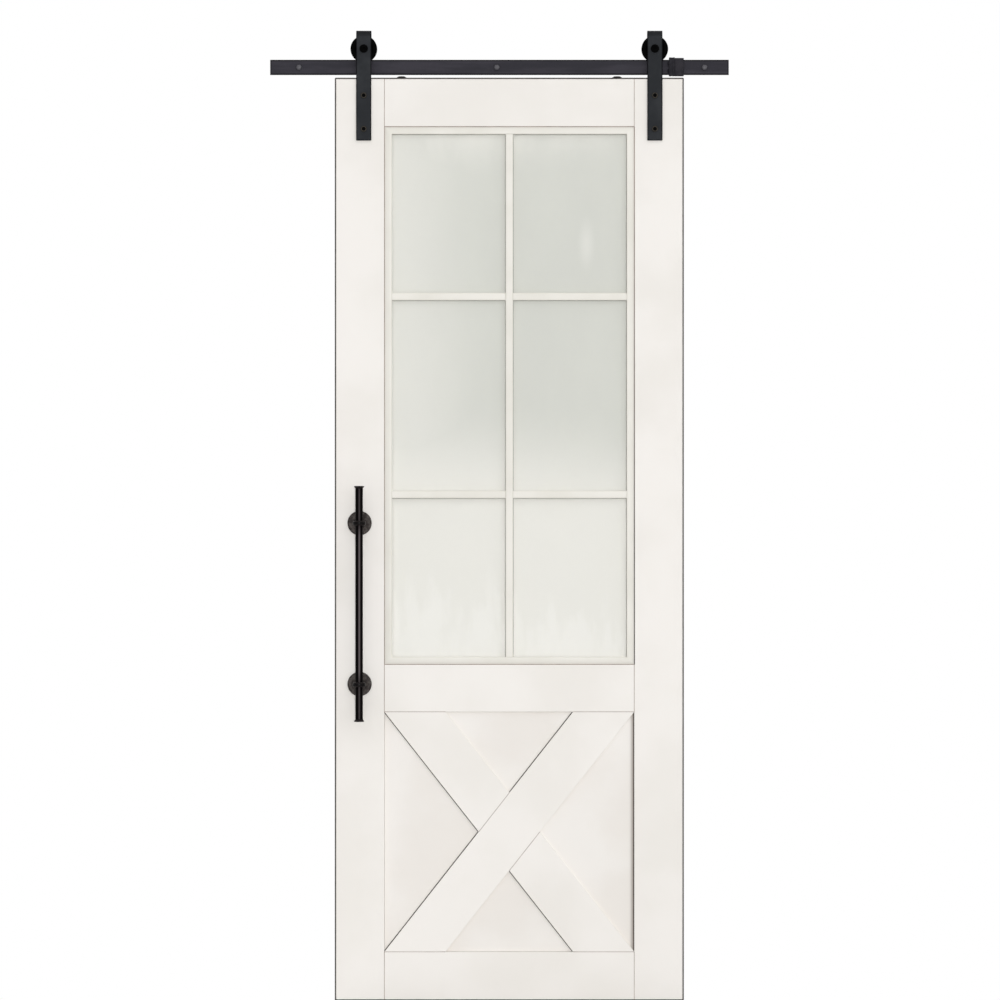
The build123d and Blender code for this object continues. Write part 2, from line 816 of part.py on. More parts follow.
# Grooved wheels: flanges each side of the bar and a dished web round the hub
wheel_half = wheel_width / 2
hub_half = wheel_hub_width / 2
seat_radius = bearing_diameter / 2 + bearing_seat_clearance
bearing_half = bearing_width / 2
root_half = wheel_groove_width / 2
wheel_section = [
    (-hub_half, seat_radius),
    (-hub_half, wheel_hub_diameter / 2),
    (-wheel_half, wheel_dish_diameter / 2),
    (-wheel_half, wheel_radius - wheel_rim_chamfer),
    (-wheel_half + wheel_rim_chamfer, wheel_radius),
    (-root_half - wheel_groove_flare, wheel_radius),
    (-root_half, wheel_root),
    (root_half, wheel_root),
    (root_half + wheel_groove_flare, wheel_radius),
    (wheel_half - wheel_rim_chamfer, wheel_radius),
    (wheel_half, wheel_radius - wheel_rim_chamfer),
    (wheel_half, wheel_dish_diameter / 2),
    (hub_half, wheel_hub_diameter / 2),
    (hub_half, wheel_shoulder_diameter / 2),
    (bearing_half, wheel_shoulder_diameter / 2),
    (bearing_half, seat_radius),
]

# Sealed ball bearings: outer ring with its shields, the balls in their cage as one
# turned ring, and the ring on the axle
race_radius = race_diameter / 2
inner_ring_radius = inner_ring_diameter / 2
shield_radius = inner_ring_radius + shield_clearance
shield_inside = bearing_half - shield_thickness
outer_ring_section = [
    (-bearing_half, shield_radius),
    (-bearing_half, bearing_diameter / 2),
    (bearing_half, bearing_diameter / 2),
    (bearing_half, shield_radius),
    (shield_inside, shield_radius),
    (shield_inside, race_radius),
    (-shield_inside, race_radius),
    (-shield_inside, shield_radius),
]
inner_ring_section = [
    (-bearing_half, axle_diameter / 2 + axle_clearance),
    (-bearing_half, inner_ring_radius),
    (bearing_half, inner_ring_radius),
    (bearing_half, axle_diameter / 2 + axle_clearance),
]
cage_low = inner_ring_radius + ball_clearance
cage_high = race_radius - ball_clearance
cage_section = [
    (-cage_width / 2, cage_low),
    (-cage_width / 2, cage_high),
    (cage_width / 2, cage_high),
    (cage_width / 2, cage_low),
]
for place, x in hanger_xs.items():
    save(turned(wheel_section, x, axle_z), f"{place}_wheel")
    save(turned(outer_ring_section, x, axle_z), f"{place}_bearing_outer")
    save(turned(cage_section, x, axle_z), f"{place}_bearing_cage")

with BuildPart() as bearing_inner_rings:
    for x in hanger_xs.values():
        add(turned(inner_ring_section, x, axle_z).part)
save(bearing_inner_rings, "bearing_inner_rings")

# Anti-jump studs: low domed discs screwed down on the door's top edge
stud_radius = stud_diameter / 2
for place, x in zip(("left", "right"), stud_xs):
    with BuildPart() as stud:
        with BuildSketch(facing(door_middle, x, door_top)):
            with BuildLine():
                Polyline((0, 0), (stud_radius, 0), (stud_radius, stud_rim))
                Line((stud_radius, stud_rim), (stud_top_diameter / 2, stud_height))
                Polyline((stud_top_diameter / 2, stud_height), (0, stud_height), (0, 0))
            make_face()
        revolve(axis=Axis((x, -door_middle, door_top), (0, 0, 1)))
        with Locations(level(door_top + stud_height, x, door_middle)):
            CounterSinkHole(
                radius=stud_screw_hole,
                counter_sink_radius=stud_screw_head / 2 + axle_clearance,
                counter_sink_angle=90,
            )
    save(stud, f"anti_jump_stud_{place}")

screw_top = door_top + stud_height
with BuildPart() as stud_screws:
    for x in stud_xs:
        with BuildSketch(level(screw_top, x, door_middle)):
            Circle(stud_screw_head / 2)
        extrude(amount=-stud_screw_head_height, taper=45)
        with BuildSketch(level(screw_top, x, door_middle)):
            Circle(stud_screw_diameter / 2)
        extrude(amount=-(stud_screw_length - stud_screw_point))
        with BuildSketch(level(screw_top - stud_screw_length + stud_screw_point, x, door_middle)):
            Circle(stud_screw_diameter / 2)
        extrude(amount=-stud_screw_point, taper=25)
save(stud_screws, "anti_jump_screws")

# Handle bar with a flared cap on each end
bar_half = handle_length / 2 - handle_cap_height
with BuildPart() as handle_bar:
    with BuildSketch(level(handle_z - bar_half, handle_x, handle_depth)):
        Circle(handle_diameter / 2)
    extrude(amount=2 * bar_half)
save(handle_bar, "handle_bar")

with BuildPart() as handle_caps:
    for start, way in ((handle_z + bar_half, 1), (handle_z - bar_half, -1)):
        with BuildSketch(level(start, handle_x, handle_depth)):
            Circle(handle_cap_diameter / 2)
        extrude(amount=way * handle_cap_height)
    chamfer(handle_caps.edges().filter_by(GeomType.CIRCLE), length=handle_cap_chamfer)
save(handle_caps, "handle_caps")

# Handle posts: an eye round the bar on a neck with a collar, and a rosette behind it
collar_start = door_front + rosette_thickness
for place, z in post_zs.items():
    with BuildPart() as post:
        with BuildSketch(level(z - eye_height / 2, handle_x, handle_depth)):
            Circle(eye_diameter / 2)
        extrude(amount=eye_height)
        chamfer(post.edges().filter_by(GeomType.CIRCLE), length=eye_chamfer)
        with BuildSketch(facing(door_front, handle_x, z)):
            Circle(spigot_diameter / 2)
        extrude(amount=rosette_thickness)
        with BuildSketch(facing(collar_start, handle_x, z)):
            Circle(collar_diameter / 2)
        extrude(amount=collar_height)
        with BuildSketch(facing(collar_start, handle_x, z)):
            Circle(neck_diameter / 2)
        extrude(amount=handle_depth - collar_start)
        with BuildSketch(level(z - eye_height, handle_x, handle_depth)):
            Circle(handle_diameter / 2 + eye_clearance)
        extrude(amount=2 * eye_height, mode=Mode.SUBTRACT)
        with BuildSketch(facing(door_front, handle_x, z)):
            Circle(handle_screw_diameter / 2 + handle_thread_clearance)
        extrude(
            amount=rosette_thickness + handle_screw_reach + bolt_clearance,
            mode=Mode.SUBTRACT,
        )
    save(post, f"{place}_handle_post")

    with BuildPart() as rosette:
        with BuildSketch(facing(door_front, handle_x, z)):
            Circle(rosette_diameter / 2)
            Circle(spigot_diameter / 2 + axle_clearance, mode=Mode.SUBTRACT)
        extrude(amount=rosette_thickness)
        rim = rosette.edges().filter_by(GeomType.CIRCLE).group_by(Axis.Y)[0]
        chamfer(rim.sort_by(SortBy.RADIUS)[-1], length=rosette_chamfer)
    save(rosette, f"{place}_rosette")

# Handle screws, driven from the back of the stile into the posts
with BuildPart() as handle_screws:
    for z in post_zs.values():
        with BuildSketch(facing(door_back, handle_x, z)):
            Circle(handle_screw_head / 2)
        extrude(amount=-handle_screw_head_height)
    backs = handle_screws.faces().filter_by(Axis.Y).group_by(Axis.Y)[-1]
    chamfer(backs.edges(), length=handle_screw_head_chamfer)
    for z in post_zs.values():
        with BuildSketch(facing(door_back, handle_x, z)):
            Circle(handle_screw_diameter / 2)
        extrude(amount=door_thickness + rosette_thickness + handle_screw_reach)
        with BuildSketch(facing(door_back - handle_screw_head_height, handle_x, z)):
            RegularPolygon(hanger_socket_flats / 2, 6, major_radius=False)
        extrude(amount=hanger_socket_depth, mode=Mode.SUBTRACT)
save(handle_screws, "handle_screws")
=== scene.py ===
"""The looks of a white sliding door with a six-light frosted window, hung from a flat track."""

import json
import logging
import math
import sys
from dataclasses import dataclass, replace
from enum import Enum
from functools import cached_property
from typing import Callable, Iterable, Sequence

import bmesh
import bpy
from mathutils import Matrix, Vector


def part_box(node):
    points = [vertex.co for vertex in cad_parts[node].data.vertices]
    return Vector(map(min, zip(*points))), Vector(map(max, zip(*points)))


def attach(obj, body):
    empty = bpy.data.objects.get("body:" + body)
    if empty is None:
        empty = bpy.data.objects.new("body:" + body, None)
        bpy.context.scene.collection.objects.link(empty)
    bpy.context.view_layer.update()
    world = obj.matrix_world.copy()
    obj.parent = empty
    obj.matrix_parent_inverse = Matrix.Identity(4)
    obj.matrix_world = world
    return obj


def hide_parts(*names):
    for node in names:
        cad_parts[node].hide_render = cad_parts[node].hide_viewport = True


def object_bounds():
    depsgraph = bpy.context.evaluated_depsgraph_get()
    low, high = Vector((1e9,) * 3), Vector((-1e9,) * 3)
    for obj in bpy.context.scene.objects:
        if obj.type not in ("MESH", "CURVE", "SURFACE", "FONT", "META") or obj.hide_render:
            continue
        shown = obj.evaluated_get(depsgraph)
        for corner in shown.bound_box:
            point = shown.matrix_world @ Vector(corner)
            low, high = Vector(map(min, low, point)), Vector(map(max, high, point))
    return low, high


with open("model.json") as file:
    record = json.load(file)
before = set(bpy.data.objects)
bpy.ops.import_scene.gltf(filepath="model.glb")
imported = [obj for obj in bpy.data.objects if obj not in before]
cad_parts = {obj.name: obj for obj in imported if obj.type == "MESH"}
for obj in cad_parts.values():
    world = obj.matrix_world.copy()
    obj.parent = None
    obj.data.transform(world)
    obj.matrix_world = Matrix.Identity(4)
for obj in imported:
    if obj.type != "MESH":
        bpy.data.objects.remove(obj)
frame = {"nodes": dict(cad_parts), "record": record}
cad_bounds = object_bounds()

log = logging.getLogger("sliding_door")

Colour = tuple[float, float, float]
Flat = tuple[float, float]
Point = tuple[float, float, float]
Ring = list[Vector]
Socket = bpy.types.NodeSocket

MM = 0.001
EDGE = "edge"
SHARP_ANGLE = math.radians(40)
WHITE = (1.0, 1.0, 1.0)
ORIGIN = Vector((0, 0, 0))
FORWARD = Vector((0, -1, 0))
BACKWARD = Vector((0, 1, 0))
UP = Vector((0, 0, 1))


def srgb(red: float, green: float, blue: float) -> Colour:
    """Turn a colour of 0 to 255 a channel, as a screen shows it, into linear light.

    Args:
        red: The red channel.
        green: The green channel.
        blue: The blue channel.

    Returns:
        The colour in linear light, from 0 to 1 a channel.
    """
    return tuple(((c / 255 + 0.055) / 1.055) ** 2.4 for c in (red, green, blue))


@dataclass(frozen=True)
class Box:
    """A box along the axes, in metres.

    Attributes:
        low: Its corner with the lowest coordinates.
        high: Its corner with the highest coordinates.
    """

    low: Vector
    high: Vector

    @classmethod
    def of(cls, *nodes: str) -> "Box":
        """Find the box round some nodes of the frame.

        Args:
            nodes: The names of the nodes.

        Returns:
            The box that holds them all.
        """
        pairs = [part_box(node) for node in nodes]
        low = Vector([min(pair[0][axis] for pair in pairs) for axis in range(3)])
        high = Vector([max(pair[1][axis] for pair in pairs) for axis in range(3)])
        return cls(low, high)

    @property
    def centre(self) -> Vector:
        """The middle of the box."""
        return (self.low + self.high) / 2

    @property
    def size(self) -> Vector:
        """The lengths of the box's sides."""
        return self.high - self.low


class Graph:
    """Adds and links the nodes of one tree."""

    def __init__(self, tree: bpy.types.NodeTree) -> None:
        """Start on a tree, emptied first."""
        self.tree = tree
        tree.nodes.clear()

    def add(self, kind: str, inputs: dict | None = None, **settings: object) -> bpy.types.Node:
        """Add a node.

        Args:
            kind: The node's type.
            inputs: For each input's name or number, its value or the socket that feeds it.
            settings: The node's own settings.

        Returns:
            The new node.
        """
        node = self.tree.nodes.new(kind)
        for name, value in settings.items():
            setattr(node, name, value)
        for key, value in (inputs or {}).items():
            self.feed(node, key, value)
        return node

    def feed(self, node: bpy.types.Node, key: str | int, value: object) -> None:
        """Link a socket to a node's input, or set the input's value.

        Args:
            node: The node.
            key: The input's name or number.
            value: A socket, or a plain value.
        """
        if isinstance(value, Socket):
            self.tree.links.new(value, node.inputs[key])
        elif isinstance(value, tuple) and len(value) == 3 and node.inputs[key].type == "RGBA":
            node.inputs[key].default_value = (*value, 1.0)
        else:
            node.inputs[key].default_value = value

    def mix(self, share: object, first: object, second: object) -> Socket:
        """Mix two colours.

        Args:
            share: The second colour's share, as a value or a socket.
            first: The first colour.
            second: The second colour.

        Returns:
            The socket with the mixed colour.
        """
        node = self.add("ShaderNodeMix", data_type="RGBA")
        for index, value in ((0, share), (6, first), (7, second)):
            self.feed(node, index, value)
        return node.outputs[2]

    def maths(self, operation: str, first: object, second: object = 0.0) -> Socket:
        """Work out one sum."""
        node = self.add("ShaderNodeMath", {0: first, 1: second}, operation=operation)
        return node.outputs[0]

    def place(self) -> Socket:
        """Give the place on the object, in metres."""
        return self.add("ShaderNodeTexCoord").outputs["Object"]

    def vector(
        self, operation: str, first: object, second: object = (0.0, 0.0, 0.0)
    ) -> bpy.types.Node:
        """Work out one sum of vectors."""
        return self.add("ShaderNodeVectorMath", {0: first, 1: second}, operation=operation)

    def spread(
        self, value: object, low: object, high: object, first: object, last: object
    ) -> Socket:
        """Map a value from one range to another, clamped, with eased ends.

        Args:
            value: The socket to map.
            low: Where the range begins.
            high: Where the range ends.
            first: The result at the range's beginning.
            last: The result at its end.

        Returns:
            The socket with the mapped value.
        """
        inputs = {0: value, 1: low, 2: high, 3: first, 4: last}
        node = self.add("ShaderNodeMapRange", inputs, interpolation_type="SMOOTHSTEP")
        return node.outputs[0]


class Effects:
    """The shader effects that several finishes share, each a group that is built once."""

    def start(
        self, name: str, takes: dict[str, str], gives: dict[str, str]
    ) -> tuple[Graph, dict, dict]:
        """Begin a group with named sockets.

        Args:
            name: The group's name.
            takes: Each input's name and the kind of its socket.
            gives: Each output's name and the kind of its socket.

        Returns:
            The group's graph, its input sockets by name, and its output sockets by name.
        """
        tree = bpy.data.node_groups.new(name, "ShaderNodeTree")
        for sockets, way in ((takes, "INPUT"), (gives, "OUTPUT")):
            for key, kind in sockets.items():
                tree.interface.new_socket(key, in_out=way, socket_type=f"NodeSocket{kind}")
        graph = Graph(tree)
        source = graph.add("NodeGroupInput")
        target = graph.add("NodeGroupOutput")
        inputs = {key: source.outputs[key] for key in takes}
        outputs = {key: target.inputs[key] for key in gives}
        return graph, inputs, outputs

    def noise(self, graph: Graph, given: dict, detail: float, roughness: float) -> Socket:
        """Add noise over the object, stretched and scaled by the group's inputs.

        Args:
            graph: The group's graph.
            given: The group's input sockets.
            detail: How many layers the noise has.
            roughness: How strong its finer layers are.

        Returns:
            The noise's socket.
        """
        squeezed = graph.vector("MULTIPLY", graph.place(), given["Stretch"])
        inputs = {"Vector": squeezed.outputs[0], "Scale": given["Scale"]}
        inputs.update({"Detail": detail, "Roughness": roughness})
        return graph.add("ShaderNodeTexNoise", inputs).outputs[0]

    @cached_property
    def mottle(self) -> bpy.types.NodeTree:
        """The group for soft uneven patches, as a mask from 0 to 1.

        Returns:
            The group's tree.
        """
        takes = {"Scale": "Float", "Stretch": "Vector", "Low": "Float", "High": "Float"}
        graph, given, made = self.start("mottle", takes, {"Mask": "Float"})
        noise = self.noise(graph, given, 4.0, 0.55)
        mask = graph.spread(noise, given["Low"], given["High"], 0.0, 1.0)
        graph.tree.links.new(mask, made["Mask"])
        return graph.tree

    @cached_property
    def grain(self) -> bpy.types.NodeTree:
        """The group for a fine raised texture, as a bumped normal.

        Returns:
            The group's tree.
        """
        takes = {"Scale": "Float", "Stretch": "Vector", "Strength": "Float", "Depth": "Float"}
        graph, given, made = self.start("grain", takes, {"Normal": "Vector"})
        noise = self.noise(graph, given, 3.0, 0.6)
        inputs = {"Height": noise, "Strength": given["Strength"], "Distance": given["Depth"]}
        bump = graph.add("ShaderNodeBump", inputs)
        graph.tree.links.new(bump.outputs[0], made["Normal"])
        return graph.tree

    @cached_property
    def edge_tone(self) -> bpy.types.NodeTree:
        """The group that tints a piece's edges, where its edge attribute is high; most finishes
        paint shade or a highlight with it.

        Returns:
            The group's tree.
        """
        takes = {"Color": "Color", "Edge Color": "Color", "Share": "Float"}
        graph, given, made = self.start("edge_tone", takes, {"Color": "Color"})
        edge = graph.add("ShaderNodeAttribute", attribute_name=EDGE, attribute_type="GEOMETRY")
        mask = graph.maths("MULTIPLY", edge.outputs["Fac"], given["Share"])
        graph.tree.links.new(graph.mix(mask, given["Color"], given["Edge Color"]), made["Color"])
        return graph.tree

    @cached_property
    def fade(self) -> bpy.types.NodeTree:
        """The group for a fade along one axis of the object, as a mask from 0 to 1.

        Returns:
            The group's tree.
        """
        takes = {"Axis": "Vector", "Low": "Float", "High": "Float"}
        graph, given, made = self.start("fade", takes, {"Mask": "Float"})
        along = graph.vector("DOT_PRODUCT", graph.place(), given["Axis"])
        mask = graph.spread(along.outputs["Value"], given["Low"], given["High"], 0.0, 1.0)
        graph.tree.links.new(mask, made["Mask"])
        return graph.tree


effects = Effects()


@dataclass(frozen=True)
class Finish:
    """A surface finish, with patches of a second tone, an edge tone and a fine texture.

    Attributes:
        name: The material's name.
        colour: The main tone.
        second: The tone of the patches.
        patch_scale: How many patches there are to a metre, about.
        patch_stretch: How the patches are squeezed along each axis.
        roughness: The lowest and the highest roughness.
        specular: How strongly the surface reflects.
        metallic: 1 for bare metal, 0 for anything else.
        edge_colour: The tone at the edges, or None; mostly painted shade or a painted highlight.
        edge_share: How strong the edge tone is.
        grain_scale: How many grains of texture there are to a metre, about.
        grain_stretch: How the grains are squeezed along each axis.
        grain_strength: How strongly the texture shows.
        grain_depth: How deep the texture is, in metres.
    """

    name: str
    colour: Colour
    second: Colour
    patch_scale: float = 9.0
    patch_stretch: Point = (1.0, 1.0, 1.0)
    roughness: Flat = (0.45, 0.55)
    specular: float = 0.5
    metallic: float = 0.0
    edge_colour: Colour | None = None
    edge_share: float = 1.0
    grain_scale: float = 900.0
    grain_stretch: Point = (1.0, 1.0, 1.0)
    grain_strength: float = 0.25
    grain_depth: float = 0.05 * MM

    def material(self) -> bpy.types.Material:
        """Give the finish's material, built on the first call.

        Returns:
            The material.
        """
        title = f"{self.name}_finish"
        known = bpy.data.materials.get(title)
        if known is not None:
            return known
        material = bpy.data.materials.new(title)
        material.use_nodes = True
        graph = Graph(material.node_tree)
        inputs = {"Specular IOR Level": self.specular, "Metallic": self.metallic}
        shader = graph.add("ShaderNodeBsdfPrincipled", inputs)
        out = graph.add("ShaderNodeOutputMaterial", {"Surface": shader.outputs[0]})
        out.is_active_output = True
        mask = self.patches(graph)
        graph.feed(shader, "Base Color", self.tone(graph, mask))
        graph.feed(shader, "Roughness", graph.spread(mask, 0.0, 1.0, *self.roughness))
        values = {
            "Scale": self.grain_scale, "Stretch": self.grain_stretch,
            "Strength": self.grain_strength, "Depth": self.grain_depth,
        }
        graph.feed(shader, "Normal", self.effect(graph, effects.grain, values))
        self.extra(shader)
        return material

    def effect(self, graph: Graph, tree: bpy.types.NodeTree, values: dict) -> Socket:
        """Place a shared effect in the material."""
        return graph.add("ShaderNodeGroup", values, node_tree=tree).outputs[0]

    def patches(self, graph: Graph) -> Socket:
        """Give the mask of the second tone's patches."""
        values = {"Scale": self.patch_scale, "Stretch": self.patch_stretch}
        return self.effect(graph, effects.mottle, {**values, "Low": 0.35, "High": 0.65})

    def tone(self, graph: Graph, mask: Socket) -> Socket:
        """Give the surface's colour.

        Args:
            graph: The material's graph.
            mask: The mask of the patches.

        Returns:
            The colour's socket.
        """
        colour = graph.mix(mask, self.colour, self.second)
        if self.edge_colour is None:
            return colour
        values = {"Color": colour, "Edge Color": self.edge_colour, "Share": self.edge_share}
        return self.effect(graph, effects.edge_tone, values)

    def slope(self, graph: Graph, axis: Point, limits: Flat) -> Socket:
        """Give a mask that grows along an axis."""
        values = {"Axis": axis, "Low": limits[0], "High": limits[1]}
        return self.effect(graph, effects.fade, values)

    def extra(self, shader: bpy.types.Node) -> None:
        """Leave the shader as it is; a special finish sets more."""


@dataclass(frozen=True)
class PaintedShadeFinish(Finish):
    """A finish with painted shade: it changes to another tone along an axis.

    Attributes:
        shade: The tone of the painted shade that it changes to.
        axis: The direction of the change.
        limits: Where the change begins and where it is whole, in metres along the axis.
    """

    shade: Colour = (0.0, 0.0, 0.0)
    axis: Point = (0.0, 0.0, -1.0)
    limits: Flat = (0.0, 1.0)

    def tone(self, graph: Graph, mask: Socket) -> Socket:
        """Give the surface's colour."""
        share = self.slope(graph, self.axis, self.limits)
        return graph.mix(share, super().tone(graph, mask), self.shade)


@dataclass(frozen=True)
class FrostedFinish(Finish):
    """Etched glass: grey, with painted light: paler towards its left, its top and its foot, with
    upright streaks and one painted reflection.

    Attributes:
        pale: The tone of the pale parts, painted light.
        bright: The tone of the streaks and of the painted reflection.
        left: Where the pale left side begins and where it is strongest, in metres from the middle.
        top: The heights where the pale top begins and where it is strongest.
        foot: The heights where the pale foot begins and where it is whole, counted downwards.
        streaks: The heights where the streaks begin and where they are fullest, counted downwards.
        left_share: How pale the left side gets.
        top_share: How pale the top gets.
        wisps: How many streaks there are to a metre, and how they are squeezed along each axis.
        reflection_centre: The place of the painted reflection, across and up.
        reflection_reach: How far the painted reflection reaches, across and up.
        reflection_share: How bright the painted reflection gets.
        transmission: The share of light that goes through.
    """

    pale: Colour = srgb(246, 245, 239)
    bright: Colour = srgb(253, 252, 247)
    left: Flat = (0.05, 0.29)
    top: Flat = (-0.30, -0.15)
    foot: Flat = (0.87, 1.15)
    streaks: Flat = (1.26, 1.58)
    left_share: float = 0.62
    top_share: float = 0.6
    wisps: tuple[float, Point] = (9.0, (3.2, 1.0, 0.7))
    reflection_centre: Flat = (0.237, -0.467)
    reflection_reach: Flat = (0.028, 0.09)
    reflection_share: float = 0.4
    transmission: float = 0.3

    def tone(self, graph: Graph, mask: Socket) -> Socket:
        """Give the glass's colour, with its painted light.

        Args:
            graph: The material's graph.
            mask: The mask of the patches.

        Returns:
            The colour's socket.
        """
        colour = graph.mix(mask, self.colour, self.second)
        left = self.slope(graph, (-1.0, 0.0, -0.05), self.left)
        left = graph.maths("MULTIPLY", left, self.left_share)
        top = self.slope(graph, (-0.1, 0.0, 1.0), self.top)
        top = graph.maths("MULTIPLY", top, self.top_share)
        uneven_top = graph.maths("MULTIPLY", top, graph.maths("ADD", mask, 0.4))
        side = graph.maths("MAXIMUM", left, uneven_top)
        foot = self.slope(graph, (-0.12, 0.0, -1.0), self.foot)
        colour = graph.mix(graph.maths("MAXIMUM", side, foot), colour, self.pale)
        colour = graph.mix(self.streak_share(graph), colour, self.bright)
        return graph.mix(self.painted_reflection(graph), colour, self.bright)

    def streak_share(self, graph: Graph) -> Socket:
        """Give the mask of the upright streaks at the glass's foot, partly the frosting's
        unevenness and partly painted light.

        Args:
            graph: The material's graph.

        Returns:
            The mask's socket.
        """
        scale, stretch = self.wisps
        values = {"Scale": scale, "Stretch": stretch, "Low": 0.25, "High": 0.75}
        wisps = graph.maths("MULTIPLY", self.effect(graph, effects.mottle, values), 0.55)
        low = graph.maths("MULTIPLY", self.slope(graph, (-0.15, 0.0, -1.0), self.streaks), 0.75)
        return graph.spread(graph.maths("ADD", wisps, low), 0.55, 0.95, 0.0, 0.75)

    def painted_reflection(self, graph: Graph) -> Socket:
        """Give the mask of the painted reflection, a soft upright bright patch.

        Args:
            graph: The material's graph.

        Returns:
            The mask's socket.
        """
        centre = (self.reflection_centre[0], 0.0, self.reflection_centre[1])
        reach = (1 / self.reflection_reach[0], 0.0, 1 / self.reflection_reach[1])
        offset = graph.vector("SUBTRACT", graph.place(), centre)
        scaled = graph.vector("MULTIPLY", offset.outputs[0], reach)
        distance = graph.vector("LENGTH", scaled.outputs[0])
        return graph.spread(distance.outputs["Value"], 0.0, 1.0, self.reflection_share, 0.0)

    def extra(self, shader: bpy.types.Node) -> None:
        """Let light through the glass."""
        shader.inputs["Transmission Weight"].default_value = self.transmission
        shader.inputs["IOR"].default_value = 1.45


class Paints:
    """The finishes of the painted wood, the window and the seams."""

    door = Finish(
        "door_paint", srgb(243, 239, 234), srgb(240, 236, 230), patch_scale=3.0,
        roughness=(0.42, 0.5), specular=0.35, grain_scale=420.0, grain_stretch=(1.0, 1.0, 0.35),
        grain_strength=0.12,
    )
    # The shade towards the panel's right edge is a painted shadow of the right stile.
    panel = PaintedShadeFinish(
        "panel_paint", srgb(243, 239, 234), srgb(240, 235, 229), patch_scale=4.0,
        roughness=(0.45, 0.55), specular=0.3, grain_scale=420.0, grain_stretch=(1.0, 1.0, 0.35),
        grain_strength=0.15, shade=srgb(160, 150, 142), axis=(1.0, 0.0, 0.0),
        limits=(0.349, 0.3625),
    )
    trim = Finish(
        "trim_paint", srgb(236, 233, 225), srgb(232, 229, 220), patch_scale=8.0,
        roughness=(0.42, 0.5), specular=0.35, grain_scale=600.0, grain_strength=0.12,
    )
    # The bands' dark grey is partly their own colour and partly painted shade for the door's
    # outline.
    band = Finish(
        "edge_band", srgb(88, 84, 81), srgb(78, 74, 72), patch_scale=20.0, roughness=(0.5, 0.62),
        specular=0.2, grain_scale=1200.0, grain_stretch=(1.0, 1.0, 0.1), grain_strength=0.2,
    )
    seam = Finish(
        "seam_filler", srgb(160, 140, 130), srgb(138, 120, 112), patch_scale=40.0,
        roughness=(0.8, 0.9), specular=0.1, grain_strength=0.3,
    )
    # Dark lines that paint the boards' shadows on the recessed panel.
    painted_board_shadow = Finish(
        "painted_board_shadow", srgb(72, 64, 58), srgb(52, 46, 42), patch_scale=40.0, roughness=(0.85, 0.95),
        specular=0.05, grain_strength=0.3,
    )
    # A dark line that paints the right stile's shadow beside the glazing, darker towards its foot.
    stile_gap = PaintedShadeFinish(
        "stile_gap", srgb(168, 152, 144), srgb(150, 136, 128), patch_scale=4.0,
        roughness=(0.85, 0.95), specular=0.05, grain_strength=0.3, shade=srgb(40, 32, 28),
        limits=(0.2, 1.45),
    )
    # Grey lines that paint the shadow of the beads and bars on the glass.
    pane_shadow = Finish(
        "glazing_pane_shadow", srgb(150, 148, 142), srgb(132, 130, 125), patch_scale=60.0,
        roughness=(0.5, 0.6), specular=0.2, grain_strength=0.2,
    )
    tape = Finish(
        "glazing_tape", srgb(224, 222, 214), srgb(214, 211, 203), patch_scale=60.0,
        roughness=(0.8, 0.9), specular=0.1, grain_scale=2500.0, grain_strength=0.5,
    )
    dowel = Finish(
        "dowel_wood", srgb(205, 172, 128), srgb(178, 142, 98), patch_scale=60.0,
        patch_stretch=(0.15, 1.0, 1.0), roughness=(0.6, 0.75), specular=0.2, grain_scale=2000.0,
        grain_stretch=(0.05, 1.0, 1.0), grain_strength=0.4,
    )
    glass = FrostedFinish(
        "frosted_glass", srgb(225, 226, 219), srgb(228, 229, 222), patch_scale=3.0,
        patch_stretch=(2.0, 1.0, 0.8), roughness=(0.5, 0.6), specular=0.3, grain_scale=2600.0,
        grain_strength=0.3, grain_depth=0.03 * MM,
    )


